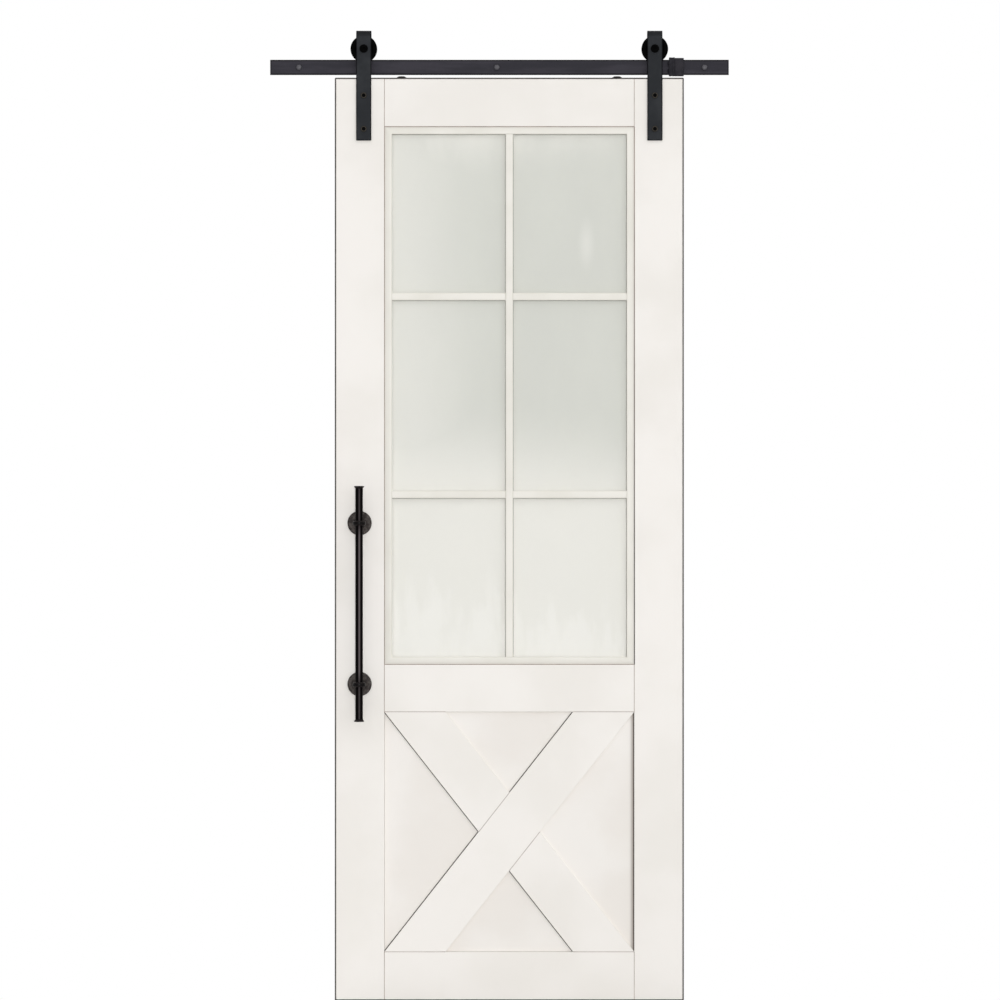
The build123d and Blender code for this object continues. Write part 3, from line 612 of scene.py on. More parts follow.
class Metals:
    """The finishes of the hardware."""

    # The dark edge colour is painted shade on the bar's edges and ends.
    track = Finish(
        "track_steel", srgb(60, 58, 65), srgb(52, 51, 57), patch_scale=14.0,
        patch_stretch=(0.4, 1.0, 3.0), roughness=(0.6, 0.72), specular=0.08,
        edge_colour=srgb(6, 5, 10), edge_share=1.0, grain_scale=2600.0, grain_strength=0.45,
        grain_depth=0.08 * MM,
    )
    # The strap's dark edge colour is painted shade on its edges, its ends and the crown of its
    # bend.
    strap = replace(
        track, name="strap_steel", colour=srgb(49, 51, 54), second=srgb(42, 44, 47),
        patch_scale=16.0, patch_stretch=(1.0, 1.0, 1.0), roughness=(0.62, 0.74),
        edge_colour=srgb(10, 9, 13),
    )
    # The collar's darker edge colour is painted shade at its ends and, lightly, all over.
    stop = replace(
        strap, name="stop_steel", colour=srgb(46, 44, 50), second=srgb(38, 37, 43),
        patch_scale=30.0, roughness=(0.6, 0.72), specular=0.14, edge_colour=srgb(18, 17, 22),
        edge_share=0.9,
    )
    # The lighter edge colour is a painted highlight on the screw heads' faces.
    fastener = Finish(
        "black_fastener", srgb(50, 49, 54), srgb(38, 37, 42), patch_scale=120.0,
        roughness=(0.4, 0.52), specular=0.35, edge_colour=srgb(104, 102, 108), edge_share=0.6,
        grain_scale=1800.0, grain_strength=0.3,
    )
    # The lighter edge colour is a painted highlight ring on the button heads.
    strap_fastener = Finish(
        "strap_fastener", srgb(7, 7, 7), srgb(4, 4, 4), patch_scale=120.0, roughness=(0.5, 0.6),
        specular=0.02, edge_colour=srgb(76, 72, 66), edge_share=1.0, grain_scale=1800.0,
        grain_strength=0.3,
    )
    axle = Finish(
        "axle_black", srgb(4, 4, 4), srgb(2, 2, 2), patch_scale=60.0, roughness=(0.7, 0.8),
        specular=0.02, grain_scale=1800.0, grain_strength=0.3,
    )
    bearing = Finish(
        "bearing_steel", srgb(176, 176, 180), srgb(160, 160, 165), patch_scale=90.0,
        roughness=(0.28, 0.4), metallic=1.0, grain_scale=2500.0, grain_strength=0.1,
    )
    # The lighter edge colour is a painted highlight on the caps' rims, the eyes' rims and the
    # necks' collars.
    bronze = Finish(
        "handle_bronze", srgb(8, 4, 5), srgb(4, 2, 2), patch_scale=70.0, roughness=(0.24, 0.36),
        specular=0.07, edge_colour=srgb(44, 38, 37), edge_share=0.6, grain_scale=420.0,
        grain_stretch=(1.0, 1.0, 0.5), grain_strength=0.35, grain_depth=0.2 * MM,
    )
    # The grip's lighter edge colour paints a highlight strip down the bar's front.
    grip = replace(
        bronze, name="grip_bronze", specular=0.02, edge_colour=srgb(94, 87, 89), edge_share=0.95
    )
    # The dark edge colour is painted shade on the rim and in the shallow ring.
    rosette = Finish(
        "rosette_bronze", srgb(82, 76, 73), srgb(50, 45, 43), patch_scale=130.0,
        roughness=(0.5, 0.62), specular=0.12, edge_colour=srgb(20, 16, 15), edge_share=0.9,
        grain_scale=900.0, grain_strength=0.4, grain_depth=0.1 * MM,
    )


class Plastics:
    """The finishes of the wheels, studs and rubber."""

    # The darker edge colour is painted shade on the wheel's rims.
    wheel = Finish(
        "wheel_nylon", srgb(7, 7, 7), srgb(4, 4, 4), patch_scale=60.0, roughness=(0.6, 0.7),
        specular=0.015, edge_colour=srgb(2, 2, 2), grain_scale=1500.0, grain_strength=0.2,
    )
    # The darker edge colour is painted shade at the stud's foot and on its top edges.
    stud = Finish(
        "stud_black", srgb(20, 21, 20), srgb(12, 13, 13), patch_scale=150.0, roughness=(0.6, 0.7),
        specular=0.04, edge_colour=srgb(6, 6, 7), edge_share=0.9, grain_scale=1500.0,
        grain_strength=0.3,
    )
    # The darker edge colour is painted shade on the bumper's ends; the two buffers take it all
    # over.
    rubber = Finish(
        "black_rubber", srgb(50, 49, 54), srgb(42, 41, 46), patch_scale=60.0,
        roughness=(0.75, 0.85), specular=0.12, edge_colour=srgb(20, 19, 24), edge_share=0.9,
        grain_scale=1500.0, grain_strength=0.4,
    )


class Form(Enum):
    """The outline of a turned ring, as seen along its axis."""

    ROUND = 0
    HEXAGON = 6

    def reach(self, angle: float) -> float:
        """Give the outline's distance from the axis, for a half width of 1.

        Args:
            angle: The direction from the axis, in radians.

        Returns:
            The distance.
        """
        if self is Form.ROUND:
            return 1.0
        sector = 2 * math.pi / self.value
        return 1 / math.cos((angle + sector / 2) % sector - sector / 2)


@dataclass(frozen=True)
class Turn:
    """One ring of a turned profile.

    Attributes:
        offset: How far along the axis it lies.
        radius: Its half width, or 0 for the closed end.
        form: Its outline.
        edge: The edge tone there, from 0 to 1.
    """

    offset: float
    radius: float
    form: Form = Form.ROUND
    edge: float = 0.0


class Shape:
    """The mesh of one piece while it is being made."""

    def __init__(self) -> None:
        """Start with nothing."""
        self.mesh = bmesh.new()
        self.edge = self.mesh.verts.layers.float.new(EDGE)

    def rounded_off(self, edges: Iterable[bmesh.types.BMEdge], radius: float, steps: int) -> list:
        """Round some edges.

        Args:
            edges: The edges.
            radius: Their radius.
            steps: How many faces go round an edge.

        Returns:
            The new faces.
        """
        made = bmesh.ops.bevel(
            self.mesh, geom=list(edges), offset=radius, segments=steps, profile=0.5, affect="EDGES",
            clamp_overlap=True,
        )
        for face in made["faces"]:
            face.smooth = True
        return made["faces"]

    def block(self, box: Box, arris: float, steps: int = 3, edge: float = 0.0) -> "Shape":
        """Add a block with rounded arrises and flat faces.

        Args:
            box: The block's place.
            arris: The radius of its edges.
            steps: How many faces go round an edge.
            edge: The edge tone of the rounded edges.

        Returns:
            The shape itself.
        """
        place = Matrix.Translation(box.centre) @ Matrix.Diagonal((*box.size, 1.0))
        corners = bmesh.ops.create_cube(self.mesh, size=1.0, matrix=place)["verts"]
        made = self.rounded_off({e for v in corners for e in v.link_edges}, arris, steps)
        for vertex in {v for face in made for v in face.verts}:
            vertex[self.edge] = edge
        return self

    def prism(self, outline: Sequence[Flat], near: float, far: float, arris: float) -> "Shape":
        """Add a board cut to an outline, its near face's edges rounded.

        Args:
            outline: The corners, across and up.
            near: The depth of the shown face.
            far: The depth of the hidden face.
            arris: The radius of the shown edges.

        Returns:
            The shape itself.
        """
        front = [self.mesh.verts.new((x, near, z)) for x, z in outline]
        back = [self.mesh.verts.new((x, far, z)) for x, z in outline]
        count = len(outline)
        self.mesh.faces.new(front)
        self.mesh.faces.new(back[::-1])
        for i in range(count):
            j = (i + 1) % count
            self.mesh.faces.new((front[j], front[i], back[i], back[j]))
        edges = (self.mesh.edges.get((front[i], front[(i + 1) % count])) for i in range(count))
        self.rounded_off(edges, arris, 3)
        return self

    def skin(self, rows: Sequence[Sequence[bmesh.types.BMVert]]) -> "Shape":
        """Stretch a smooth skin from each row of vertices to the next.

        Args:
            rows: The rows, each with as many vertices as the others.

        Returns:
            The shape itself.
        """
        count = len(rows[0])
        for first, last in zip(rows, rows[1:]):
            for i in range(count):
                j = (i + 1) % count
                corners = dict.fromkeys((first[i], first[j], last[j], last[i]))
                self.mesh.faces.new(corners).smooth = True
        return self

    def loft(
        self, rings: Sequence[Ring], edges: Sequence[Sequence[float]] | None = None
    ) -> "Shape":
        """Add a closed skin over rings of points, capped at both ends.

        Args:
            rings: The rings, each with as many points as the others.
            edges: The edge tone of each point, ring by ring.

        Returns:
            The shape itself.
        """
        rows = []
        for index, ring in enumerate(rings):
            row = [self.mesh.verts.new(point) for point in ring]
            if edges is not None:
                for vertex, value in zip(row, edges[index]):
                    vertex[self.edge] = value
            rows.append(row)
        self.skin(rows)
        self.mesh.faces.new(rows[0][::-1])
        self.mesh.faces.new(rows[-1])
        return self

    def turned(
        self, profile: Sequence[Turn], centre: Vector, axis: Vector, steps: int = 48
    ) -> "Shape":
        """Add a closed turned body; a profile that ends off the axis comes back to its start.

        Args:
            profile: The rings from one end to the other.
            centre: The point of the axis where offsets begin.
            axis: The direction of the axis.
            steps: How many faces go round it.

        Returns:
            The shape itself.
        """
        axis = axis.normalized()
        side = axis.orthogonal().normalized()
        if abs(axis.z) < 0.5:
            side = UP
        other = axis.cross(side)
        angles = [2 * math.pi * i / steps for i in range(steps)]
        rows = []
        for turn in profile:
            middle = centre + axis * turn.offset
            if turn.radius == 0:
                row = [self.mesh.verts.new(middle)] * steps
            else:
                row = []
                for angle in angles:
                    outward = side * math.cos(angle) + other * math.sin(angle)
                    reach = turn.radius * turn.form.reach(angle)
                    row.append(self.mesh.verts.new(middle + outward * reach))
            for vertex in row:
                vertex[self.edge] = turn.edge
            rows.append(row)
        if profile[0].radius and profile[-1].radius:
            rows.append(rows[0])
        return self.skin(rows)

    def shade(self, tone: Callable[[Vector], float]) -> "Shape":
        """Set the edge tone of every point from its place.

        Args:
            tone: Gives the tone at a place.

        Returns:
            The shape itself.
        """
        for vertex in self.mesh.verts:
            vertex[self.edge] = tone(vertex.co)
        return self

    def finished(self, name: str) -> bpy.types.Mesh:
        """Turn the faces outwards, mark the sharp edges and end the mesh.

        Args:
            name: The mesh's name.

        Returns:
            The plain mesh.
        """
        bmesh.ops.recalc_face_normals(self.mesh, faces=self.mesh.faces)
        for edge in self.mesh.edges:
            if len(edge.link_faces) == 2 and edge.calc_face_angle() > SHARP_ANGLE:
                edge.smooth = False
        mesh = bpy.data.meshes.new(name)
        self.mesh.to_mesh(mesh)
        self.mesh.free()
        return mesh

    def piece(
        self, name: str, finish: Finish, body: str, nodes: Sequence[str], slot: str | None = None
    ) -> bpy.types.Object:
        """End the mesh and make it a piece of the object.

        Args:
            name: The piece's name.
            finish: Its finish.
            body: The body that it rides on.
            nodes: The frame's nodes that it stands for.
            slot: The record's material slot, if it isn't the finish's name.

        Returns:
            The finished piece.
        """
        mesh = self.finished(name)
        mesh.materials.append(finish.material())
        return placed(mesh, name, body, nodes, slot or finish.name)


def placed(
    mesh: bpy.types.Mesh, name: str, body: str, nodes: Sequence[str], slot: str
) -> bpy.types.Object:
    """Put a mesh in the scene as a piece of the object.

    Args:
        mesh: The finished mesh.
        name: The piece's name.
        body: The body that it rides on.
        nodes: The frame's nodes that it stands for.
        slot: The record's material slot; not used.

    Returns:
        The piece.
    """
    piece = bpy.data.objects.new(name, mesh)
    bpy.context.scene.collection.objects.link(piece)
    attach(piece, body)
    if nodes:
        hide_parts(*nodes)
    log.info("%s: %d faces, on %s", name, len(mesh.polygons), body)
    return piece


def dress(finish: Finish, *nodes: str) -> None:
    """Give nodes of the frame that stay as they are a finish.

    Args:
        finish: The finish.
        nodes: The names of the nodes.
    """
    for name in nodes:
        node = frame["nodes"][name]
        for place in node.material_slots:
            place.material = finish.material()
        log.info("%s keeps its own mesh, in %s", name, finish.name)


class Recipe:
    """A Geometry Nodes tree with named inputs, and the way to bake it to a plain mesh."""

    def __init__(self, name: str, takes: dict[str, str]) -> None:
        """Begin a tree that takes a mesh, a material and some named values, and gives a mesh.

        Args:
            name: The tree's name.
            takes: Each input's name and the kind of its socket.
        """
        self.tree = bpy.data.node_groups.new(name, "GeometryNodeTree")
        self.keys: dict[str, str] = {}
        interface = self.tree.interface
        interface.new_socket("Geometry", in_out="INPUT", socket_type="NodeSocketGeometry")
        for key, kind in {**takes, "Material": "Material"}.items():
            socket = interface.new_socket(key, in_out="INPUT", socket_type=f"NodeSocket{kind}")
            self.keys[key] = socket.identifier
        interface.new_socket("Geometry", in_out="OUTPUT", socket_type="NodeSocketGeometry")
        self.graph = Graph(self.tree)
        self.given = self.graph.add("NodeGroupInput").outputs

    def end(self, geometry: Socket) -> "Recipe":
        """Realize the copies, set the material and end the tree.

        Args:
            geometry: The socket with what was made.

        Returns:
            The recipe itself.
        """
        real = self.graph.add("GeometryNodeRealizeInstances", {0: geometry})
        inputs = {"Geometry": real.outputs[0], "Material": self.given["Material"]}
        painted = self.graph.add("GeometryNodeSetMaterial", inputs)
        self.graph.add("NodeGroupOutput", {0: painted.outputs[0]})
        return self

    def tube(self, curve: bpy.types.Node, sides: object, radius: object) -> bpy.types.Node:
        """Lay a closed round tube along a curve.

        Args:
            curve: The node that gives the curve.
            sides: How many sides the tube has, as a value or a socket.
            radius: Its radius, as a value or a socket.

        Returns:
            The node that gives the tube.
        """
        inputs = {"Resolution": sides, "Radius": radius}
        circle = self.graph.add("GeometryNodeCurvePrimitiveCircle", inputs)
        inputs = {"Curve": curve.outputs[0], "Profile Curve": circle.outputs[0], "Fill Caps": True}
        return self.graph.add("GeometryNodeCurveToMesh", inputs)

    def repeat(self, item: Socket) -> "Recipe":
        """Put a copy of an item on each point and end the tree."""
        inputs = {"Points": self.given["Geometry"], "Instance": item}
        return self.end(self.graph.add("GeometryNodeInstanceOnPoints", inputs).outputs[0])

    def bake(
        self, name: str, points: Sequence[Point], edges: Sequence[tuple[int, int]], values: dict
    ) -> bpy.types.Mesh:
        """Run the tree on points and lines.

        Args:
            name: The new mesh's name.
            points: The points that the tree starts from.
            edges: The lines between them.
            values: The value of each named input.

        Returns:
            The plain mesh.
        """
        base = bpy.data.meshes.new(f"{name}_points")
        base.from_pydata(points, edges, [])
        carrier = bpy.data.objects.new(f"{name}_carrier", base)
        bpy.context.scene.collection.objects.link(carrier)
        modifier = carrier.modifiers.new("recipe", "NODES")
        modifier.node_group = self.tree
        for key, value in values.items():
            modifier[self.keys[key]] = value
        graph = bpy.context.evaluated_depsgraph_get()
        mesh = bpy.data.meshes.new_from_object(carrier.evaluated_get(graph))
        mesh.name = name
        bpy.data.objects.remove(carrier)
        bpy.data.meshes.remove(base)
        return mesh


class Recipes:
    """The trees for thin lines, copied fasteners and screw threads."""

    @cached_property
    def line(self) -> Recipe:
        """The tree that lays a round bead along each line.

        Returns:
            The recipe.
        """
        recipe = Recipe("bead_along_lines", {"Radius": "Float", "Sides": "Int"})
        curve = recipe.graph.add("GeometryNodeMeshToCurve", {0: recipe.given["Geometry"]})
        tube = recipe.tube(curve, recipe.given["Sides"], recipe.given["Radius"])
        return recipe.end(tube.outputs[0])

    @cached_property
    def copies(self) -> Recipe:
        """The tree that puts a copy of a piece on each point.

        Returns:
            The recipe.
        """
        recipe = Recipe("copies_on_points", {"Item": "Object"})
        item = recipe.graph.add("GeometryNodeObjectInfo", {"Object": recipe.given["Item"]})
        return recipe.repeat(item.outputs["Geometry"])

    @cached_property
    def thread(self) -> Recipe:
        """The tree that winds a thread along +Y from each point.

        Returns:
            The recipe.
        """
        takes = dict.fromkeys(("Turns", "Steps", "Radius", "Length", "Ridge"), "Float")
        recipe = Recipe("thread_from_points", {**takes, "Steps": "Int"})
        graph, given = recipe.graph, recipe.given
        winding = {
            "Resolution": given["Steps"], "Rotations": given["Turns"], "Height": given["Length"],
            "Start Radius": given["Radius"], "End Radius": given["Radius"],
        }
        tube = recipe.tube(graph.add("GeometryNodeCurveSpiral", winding), 4, given["Ridge"])
        inputs = {"Geometry": tube.outputs[0], "Rotation": (-math.pi / 2, 0.0, 0.0)}
        return recipe.repeat(graph.add("GeometryNodeTransform", inputs).outputs[0])


recipes = Recipes()


def lines(
    name: str, runs: Sequence[Sequence[Point]], radius: float, finish: Finish, body: str, slot: str
) -> bpy.types.Object:
    """Lay thin beads of filler along straight runs.

    Args:
        name: The piece's name.
        runs: For each run, its points in order.
        radius: The bead's radius.
        finish: The bead's finish.
        body: The body that it rides on.
        slot: The record's material slot.

    Returns:
        The piece.
    """
    points: list[Point] = []
    edges: list[tuple[int, int]] = []
    for run in runs:
        start = len(points)
        points.extend(run)
        edges.extend((start + i, start + i + 1) for i in range(len(run) - 1))
    values = {"Radius": radius, "Sides": 8, "Material": finish.material()}
    mesh = recipes.line.bake(name, points, edges, values)
    for polygon in mesh.polygons:
        polygon.use_smooth = len(polygon.vertices) == 4
    return placed(mesh, name, body, (), slot)


def copied(
    name: str, shape: Shape, points: Sequence[Point], finish: Finish, body: str, node: str
) -> bpy.types.Object:
    """Put a copy of a shape, made at the origin, on each point.

    Args:
        name: The piece's name.
        shape: The shape to copy.
        points: Where the copies go.
        finish: Their finish.
        body: The body that they ride on.
        node: The frame's node that they stand for.

    Returns:
        The piece.
    """
    mesh = shape.finished(f"{name}_item")
    item = bpy.data.objects.new(f"{name}_item", mesh)
    bpy.context.scene.collection.objects.link(item)
    made = recipes.copies.bake(name, points, (), {"Item": item, "Material": finish.material()})
    bpy.data.objects.remove(item)
    bpy.data.meshes.remove(mesh)
    return placed(made, name, body, [node], finish.name)


def rounded(radius: float, steps: int) -> list[Flat]:
    """Give a quarter round, from (radius, 0) to (0, radius), its centre at (radius, radius).

    Args:
        radius: The radius.
        steps: How many stretches it has.

    Returns:
        The points, as distances from the two sides of the corner.
    """
    turns = [math.pi / 2 * i / steps for i in range(steps + 1)]
    return [(radius * (1 - math.sin(turn)), radius * (1 - math.cos(turn))) for turn in turns]


def flat_section(half_width: float, half_depth: float, radius: float, border: float) -> list[Point]:
    """Give the section of a flat bar, with a border on its two wide faces that takes the edge tone,
    a painted shade.

    Args:
        half_width: Half the wide side.
        half_depth: Half the thin side.
        radius: The radius of the corners.
        border: The width of the border.

    Returns:
        For each point round the section: across, through and the edge tone.
    """
    quarter = [(math.cos(t), math.sin(t)) for t in (math.pi / 2 * i / 3 for i in range(4))]
    middle_u, middle_v = half_width - radius, half_depth - radius
    wide = [(middle_u + radius * c, middle_v + radius * s, 1.0) for c, s in quarter]
    wide += [(half_width - 0.5 * border, half_depth, 1.0), (half_width - border, half_depth, 0.0)]
    wide += [(-u, v, tone) for u, v, tone in reversed(wide)]
    return [(side * u, side * v, tone) for side in (1, -1) for u, v, tone in wide]


@dataclass
class DoorFrame:
    """The stiles, rails, edge bands and seams of the slab.

    Attributes:
        arris: The radius of the boards' edges.
        band_arris: The radius of the edge bands' edges.
        band_corner: The radius of the slab's corners.
        seam_radius: The radius of the filler in the seams.
        seam_sunk: How far the filler's middle lies behind the face.
        shadow_line_radius: The radius of the painted shadow line between the glazing and the right
            stile.
        shadow_line_shift: How far that line's middle lies over the stile.
        shadow_line_sunk: How far it lies behind the face.
    """

    arris: float = 1.0 * MM
    band_arris: float = 0.4 * MM
    band_corner: float = 3.0 * MM
    seam_radius: float = 0.8 * MM
    seam_sunk: float = 0.5 * MM
    shadow_line_radius: float = 1.2 * MM
    shadow_line_shift: float = 0.72 * MM
    shadow_line_sunk: float = 0.8 * MM

    def __post_init__(self) -> None:
        """Find the boards in the frame."""
        self.boards = {
            name: Box.of(name)
            for name in ("left_stile", "right_stile", "top_rail", "middle_rail", "bottom_rail")
        }
        self.front = self.boards["top_rail"].low.y
        self.back = self.boards["top_rail"].high.y
        self.left = self.boards["left_stile"].high.x
        self.right = self.boards["right_stile"].low.x

    def build(self) -> None:
        """Make all the pieces of the slab's frame."""
        for name, box in self.boards.items():
            Shape().block(box, self.arris).piece(f"{name}_board", Paints.door, "door", [name])
        self.build_bands()
        self.build_seams()
        dress(Paints.dowel, "frame_dowels")

    def build_bands(self) -> None:
        """Make the dark bands round the slab's edge, their dark grey partly painted shade for the
        door's outline.
        """
        sides = Box.of("side_edge_bands")
        ends = Box.of("end_edge_bands")
        boards = self.boards
        shape = Shape()
        self.side_band(shape, sides.low.x, boards["left_stile"].low.x, sides)
        self.side_band(shape, sides.high.x, boards["right_stile"].high.x, sides)
        shape.piece("side_bands", Paints.band, "door", ["side_edge_bands"])
        shape = Shape()
        top, bottom = boards["top_rail"].high.z, boards["bottom_rail"].low.z
        for low_z, high_z in ((ends.low.z, bottom), (top, ends.high.z)):
            low = Vector((ends.low.x, ends.low.y, low_z))
            high = Vector((ends.high.x, ends.high.y, high_z))
            shape.block(Box(low, high), self.band_arris, steps=2)
        shape.piece("end_bands", Paints.band, "door", ["end_edge_bands"])

    def side_band(self, shape: Shape, outer: float, inner: float, box: Box) -> None:
        """Add one upright band, its two outer corners rounded.

        Args:
            shape: The shape to add to.
            outer: The side of the band at the slab's outside.
            inner: The side of the band at the stile.
            box: The box round both bands.
        """
        inward = math.copysign(1.0, inner - outer)
        corner = rounded(self.band_corner, 5)
        upper = [(outer + inward * u, box.high.z - v) for u, v in corner]
        lower = [(outer + inward * u, box.low.z + v) for u, v in reversed(corner)]
        outline = [(inner, box.high.z), *upper, *lower, (inner, box.low.z)]
        shape.prism(outline, box.low.y, box.high.y, self.band_arris)

    def build_seams(self) -> None:
        """Lay the filler in the seams on both faces, and the painted shadow line down the right
        stile, darker towards its foot.
        """
        rails = [self.boards[f"{name}_rail"] for name in ("top", "middle", "bottom")]
        top, middle, bottom = rails
        left, right = self.left, self.right
        spans = [(rail.low.z, rail.high.z) for rail in rails]
        sill, head = middle.high.z, top.low.z
        butt = CrossPanel().run
        for face, depth, way in (("front", self.front, 1), ("back", self.back, -1)):
            y = depth + way * self.seam_sunk
            runs = [((x, y, low), (x, y, high)) for x in (left, right) for low, high in spans]
            runs.append(((left, y, sill), (left, y, head)))
            runs += [((left, y, z), (right, y, z)) for z in (head, sill)]
            for z in (middle.low.z, bottom.high.z):
                runs.append(((left, y, z), (left + butt, y, z)))
                runs.append(((right - butt, y, z), (right, y, z)))
            lines(f"seam_filler_{face}", runs, self.seam_radius, Paints.seam, "door", "door_paint")
            # The painted shadow line down the right stile, on this face.
            x, y = right + self.shadow_line_shift, depth + way * self.shadow_line_sunk
            gap = [((x, y, sill), (x, y, head))]
            lines(f"stile_gap_{face}", gap, self.shadow_line_radius, Paints.stile_gap, "door", "door_paint")


@dataclass
class CrossPanel:
    """The recessed panel and the boards of the cross on it.

    Attributes:
        board_width: The square width of a board.
        arris: The radius of the boards' shown edges.
        panel_play: The gap round the panel, and the radius of its edges.
        tongue_half: Half the thickness of the panel's tongue.
        shadow_line_radius: The radius of the painted shadow line at the foot of a board.
        shadow_line_rise: How far the line's middle lies over the panel, in radii.
        shadow_line_shift: How far it lies off the board, in radii.
        shadow_line_trim: How far it is drawn in from the corners, in radii.
        joint_radius: The radius of the filler where two boards butt.
        joint_sunk: How far the middle of that filler lies behind the boards' faces.
    """

    board_width: float = 127.0 * MM
    arris: float = 1.0 * MM
    panel_play: float = 0.4 * MM
    tongue_half: float = 4.0 * MM
    shadow_line_radius: float = 1.4 * MM
    shadow_line_rise: float = 0.6
    shadow_line_shift: float = 0.55
    shadow_line_trim: float = 1.2
    joint_radius: float = 0.7 * MM
    joint_sunk: float = 0.45 * MM

    def __post_init__(self) -> None:
        """Find the opening and the boards' depths in the frame."""
        self.low_x = Box.of("left_stile").high.x
        self.high_x = Box.of("right_stile").low.x
        self.low_z = Box.of("bottom_rail").high.z
        self.high_z = Box.of("middle_rail").low.z
        self.front = Box.of("long_brace_front")
        self.back = Box.of("long_brace_back")
        across, rise = self.high_x - self.low_x, self.high_z - self.low_z
        square = self.board_width**2
        root = square**2 * across**2 + (rise**2 - square) * square * (rise**2 + across**2)
        self.run = (math.sqrt(root) - square * across) / (rise**2 - square)
        self.across, self.rise = across, rise

    def crossing(self, x: float, top: bool) -> Flat:
        """Find where an edge of the falling boards meets an edge of the rising one.

        Args:
            x: Where the falling edge stands at the opening's top.
            top: True for the rising board's upper edge, False for its lower one.

        Returns:
            The point, across and up from the opening's lower left corner.
        """
        start = 0.0 if top else self.run
        slope = self.rise / (self.across - self.run)
        meet = (x + self.across - self.run + start) / 2
        return meet, (meet - start) * slope

    def outlines(self) -> dict[str, list[Flat]]:
        """Give each board's corners, across and up from the opening's lower left corner.

        Returns:
            For each board's name, its corners in order.
        """
        across, rise, run = self.across, self.rise, self.run
        upper = (self.crossing(0.0, True), self.crossing(run, True))
        lower = (self.crossing(0.0, False), self.crossing(run, False))
        return {
            "long": [(0.0, 0.0), (run, 0.0), (across, rise), (across - run, rise)],
            "upper": [(0.0, rise), *upper, (run, rise)],
            "lower": [lower[0], (across - run, 0.0), (across, 0.0), lower[1]],
        }

    def build(self) -> None:
        """Make the panel, the boards and the lines between them."""
        panel = Box.of("lower_panel")
        play, half = self.panel_play, self.tongue_half
        low = Vector((self.low_x + play, self.front.high.y, self.low_z + play))
        high = Vector((self.high_x - play, self.back.low.y, self.high_z - play))
        tongue_low = Vector((panel.low.x, panel.centre.y - half, panel.low.z))
        tongue_high = Vector((panel.high.x, panel.centre.y + half, panel.high.z))
        shape = Shape().block(Box(low, high), play, steps=1)
        shape.block(Box(tongue_low, tongue_high), play, steps=1)
        shape.piece("recessed_panel", Paints.panel, "door", ["lower_panel"])
        for face, near, far, flip in (
            ("front", self.front.low.y, self.front.high.y, 1),
            ("back", self.back.high.y, self.back.low.y, -1),
        ):
            for part, outline in self.outlines().items():
                points = [self.place(x, z, flip) for x, z in outline]
                name = f"{part}_brace_{face}"
                board = Shape().prism(points, near, far, self.arris)
                board.piece(f"{name}_board", Paints.door, "door", [name])
            self.build_lines(face, near, far, flip)

    def place(self, x: float, z: float, flip: int) -> Flat:
        """Move a point of an outline to its place on the door."""
        middle = (self.low_x + self.high_x) / 2
        return middle + flip * (x - self.across / 2), self.low_z + z

    def build_lines(self, face: str, near: float, far: float, flip: int) -> None:
        """Lay the painted shadow lines at the boards' shaded feet and the filler in their joints.

        Args:
            face: The face's name.
            near: The depth of the boards' shown faces.
            far: The depth of the panel's face.
            flip: 1 on the front, -1 on the back.
        """
        across, rise, run = self.across, self.rise, self.run
        outward = math.copysign(1.0, near - far)
        # Painted shadow lines: only along the boards' left-facing feet and the right stile's edge,
        # where shade falls.
        feet = [
            ((0.0, rise), self.crossing(0.0, True)),
            (self.crossing(0.0, True), (0.0, 0.0)),
            ((across - run, rise), self.crossing(run, True)),
            (self.crossing(0.0, False), (across - run, 0.0)),
            ((across, rise), (across, 0.0)),
        ]
        y = far + outward * self.shadow_line_rise * self.shadow_line_radius
        runs = [[self.deep(p, y, flip) for p in self.aside(pair)] for pair in feet]
        lines(f"board_gap_{face}", runs, self.shadow_line_radius, Paints.painted_board_shadow, "door", "panel_paint")
        y = near - outward * self.joint_sunk
        joints = [
            (self.crossing(0.0, True), self.crossing(run, True)),
            (self.crossing(0.0, False), self.crossing(run, False)),
        ]
        runs = [[self.deep(p, y, flip) for p in pair] for pair in joints]
        lines(f"board_joint_{face}", runs, self.joint_radius, Paints.seam, "door", "door_paint")

    def aside(self, pair: tuple[Flat, Flat]) -> list[Flat]:
        """Move a line at a board's foot to its left, off the board.

        Args:
            pair: The line's two ends, across and up in the opening.

        Returns:
            The two ends of the moved line, drawn in a little from the corners.
        """
        first, last = (Vector(point) for point in pair)
        along = (last - first).normalized()
        off = Vector((along.y, -along.x))
        if off.x > 0:
            off = -off
        shift = self.shadow_line_shift * self.shadow_line_radius * off
        trim = self.shadow_line_trim * self.shadow_line_radius * along
        return [tuple(first + shift + trim), tuple(last + shift - trim)]

    def deep(self, point: Flat, y: float, flip: int) -> Point:
        """Give a point of an outline its depth."""
        x, z = self.place(*point, flip)
        return x, y, z


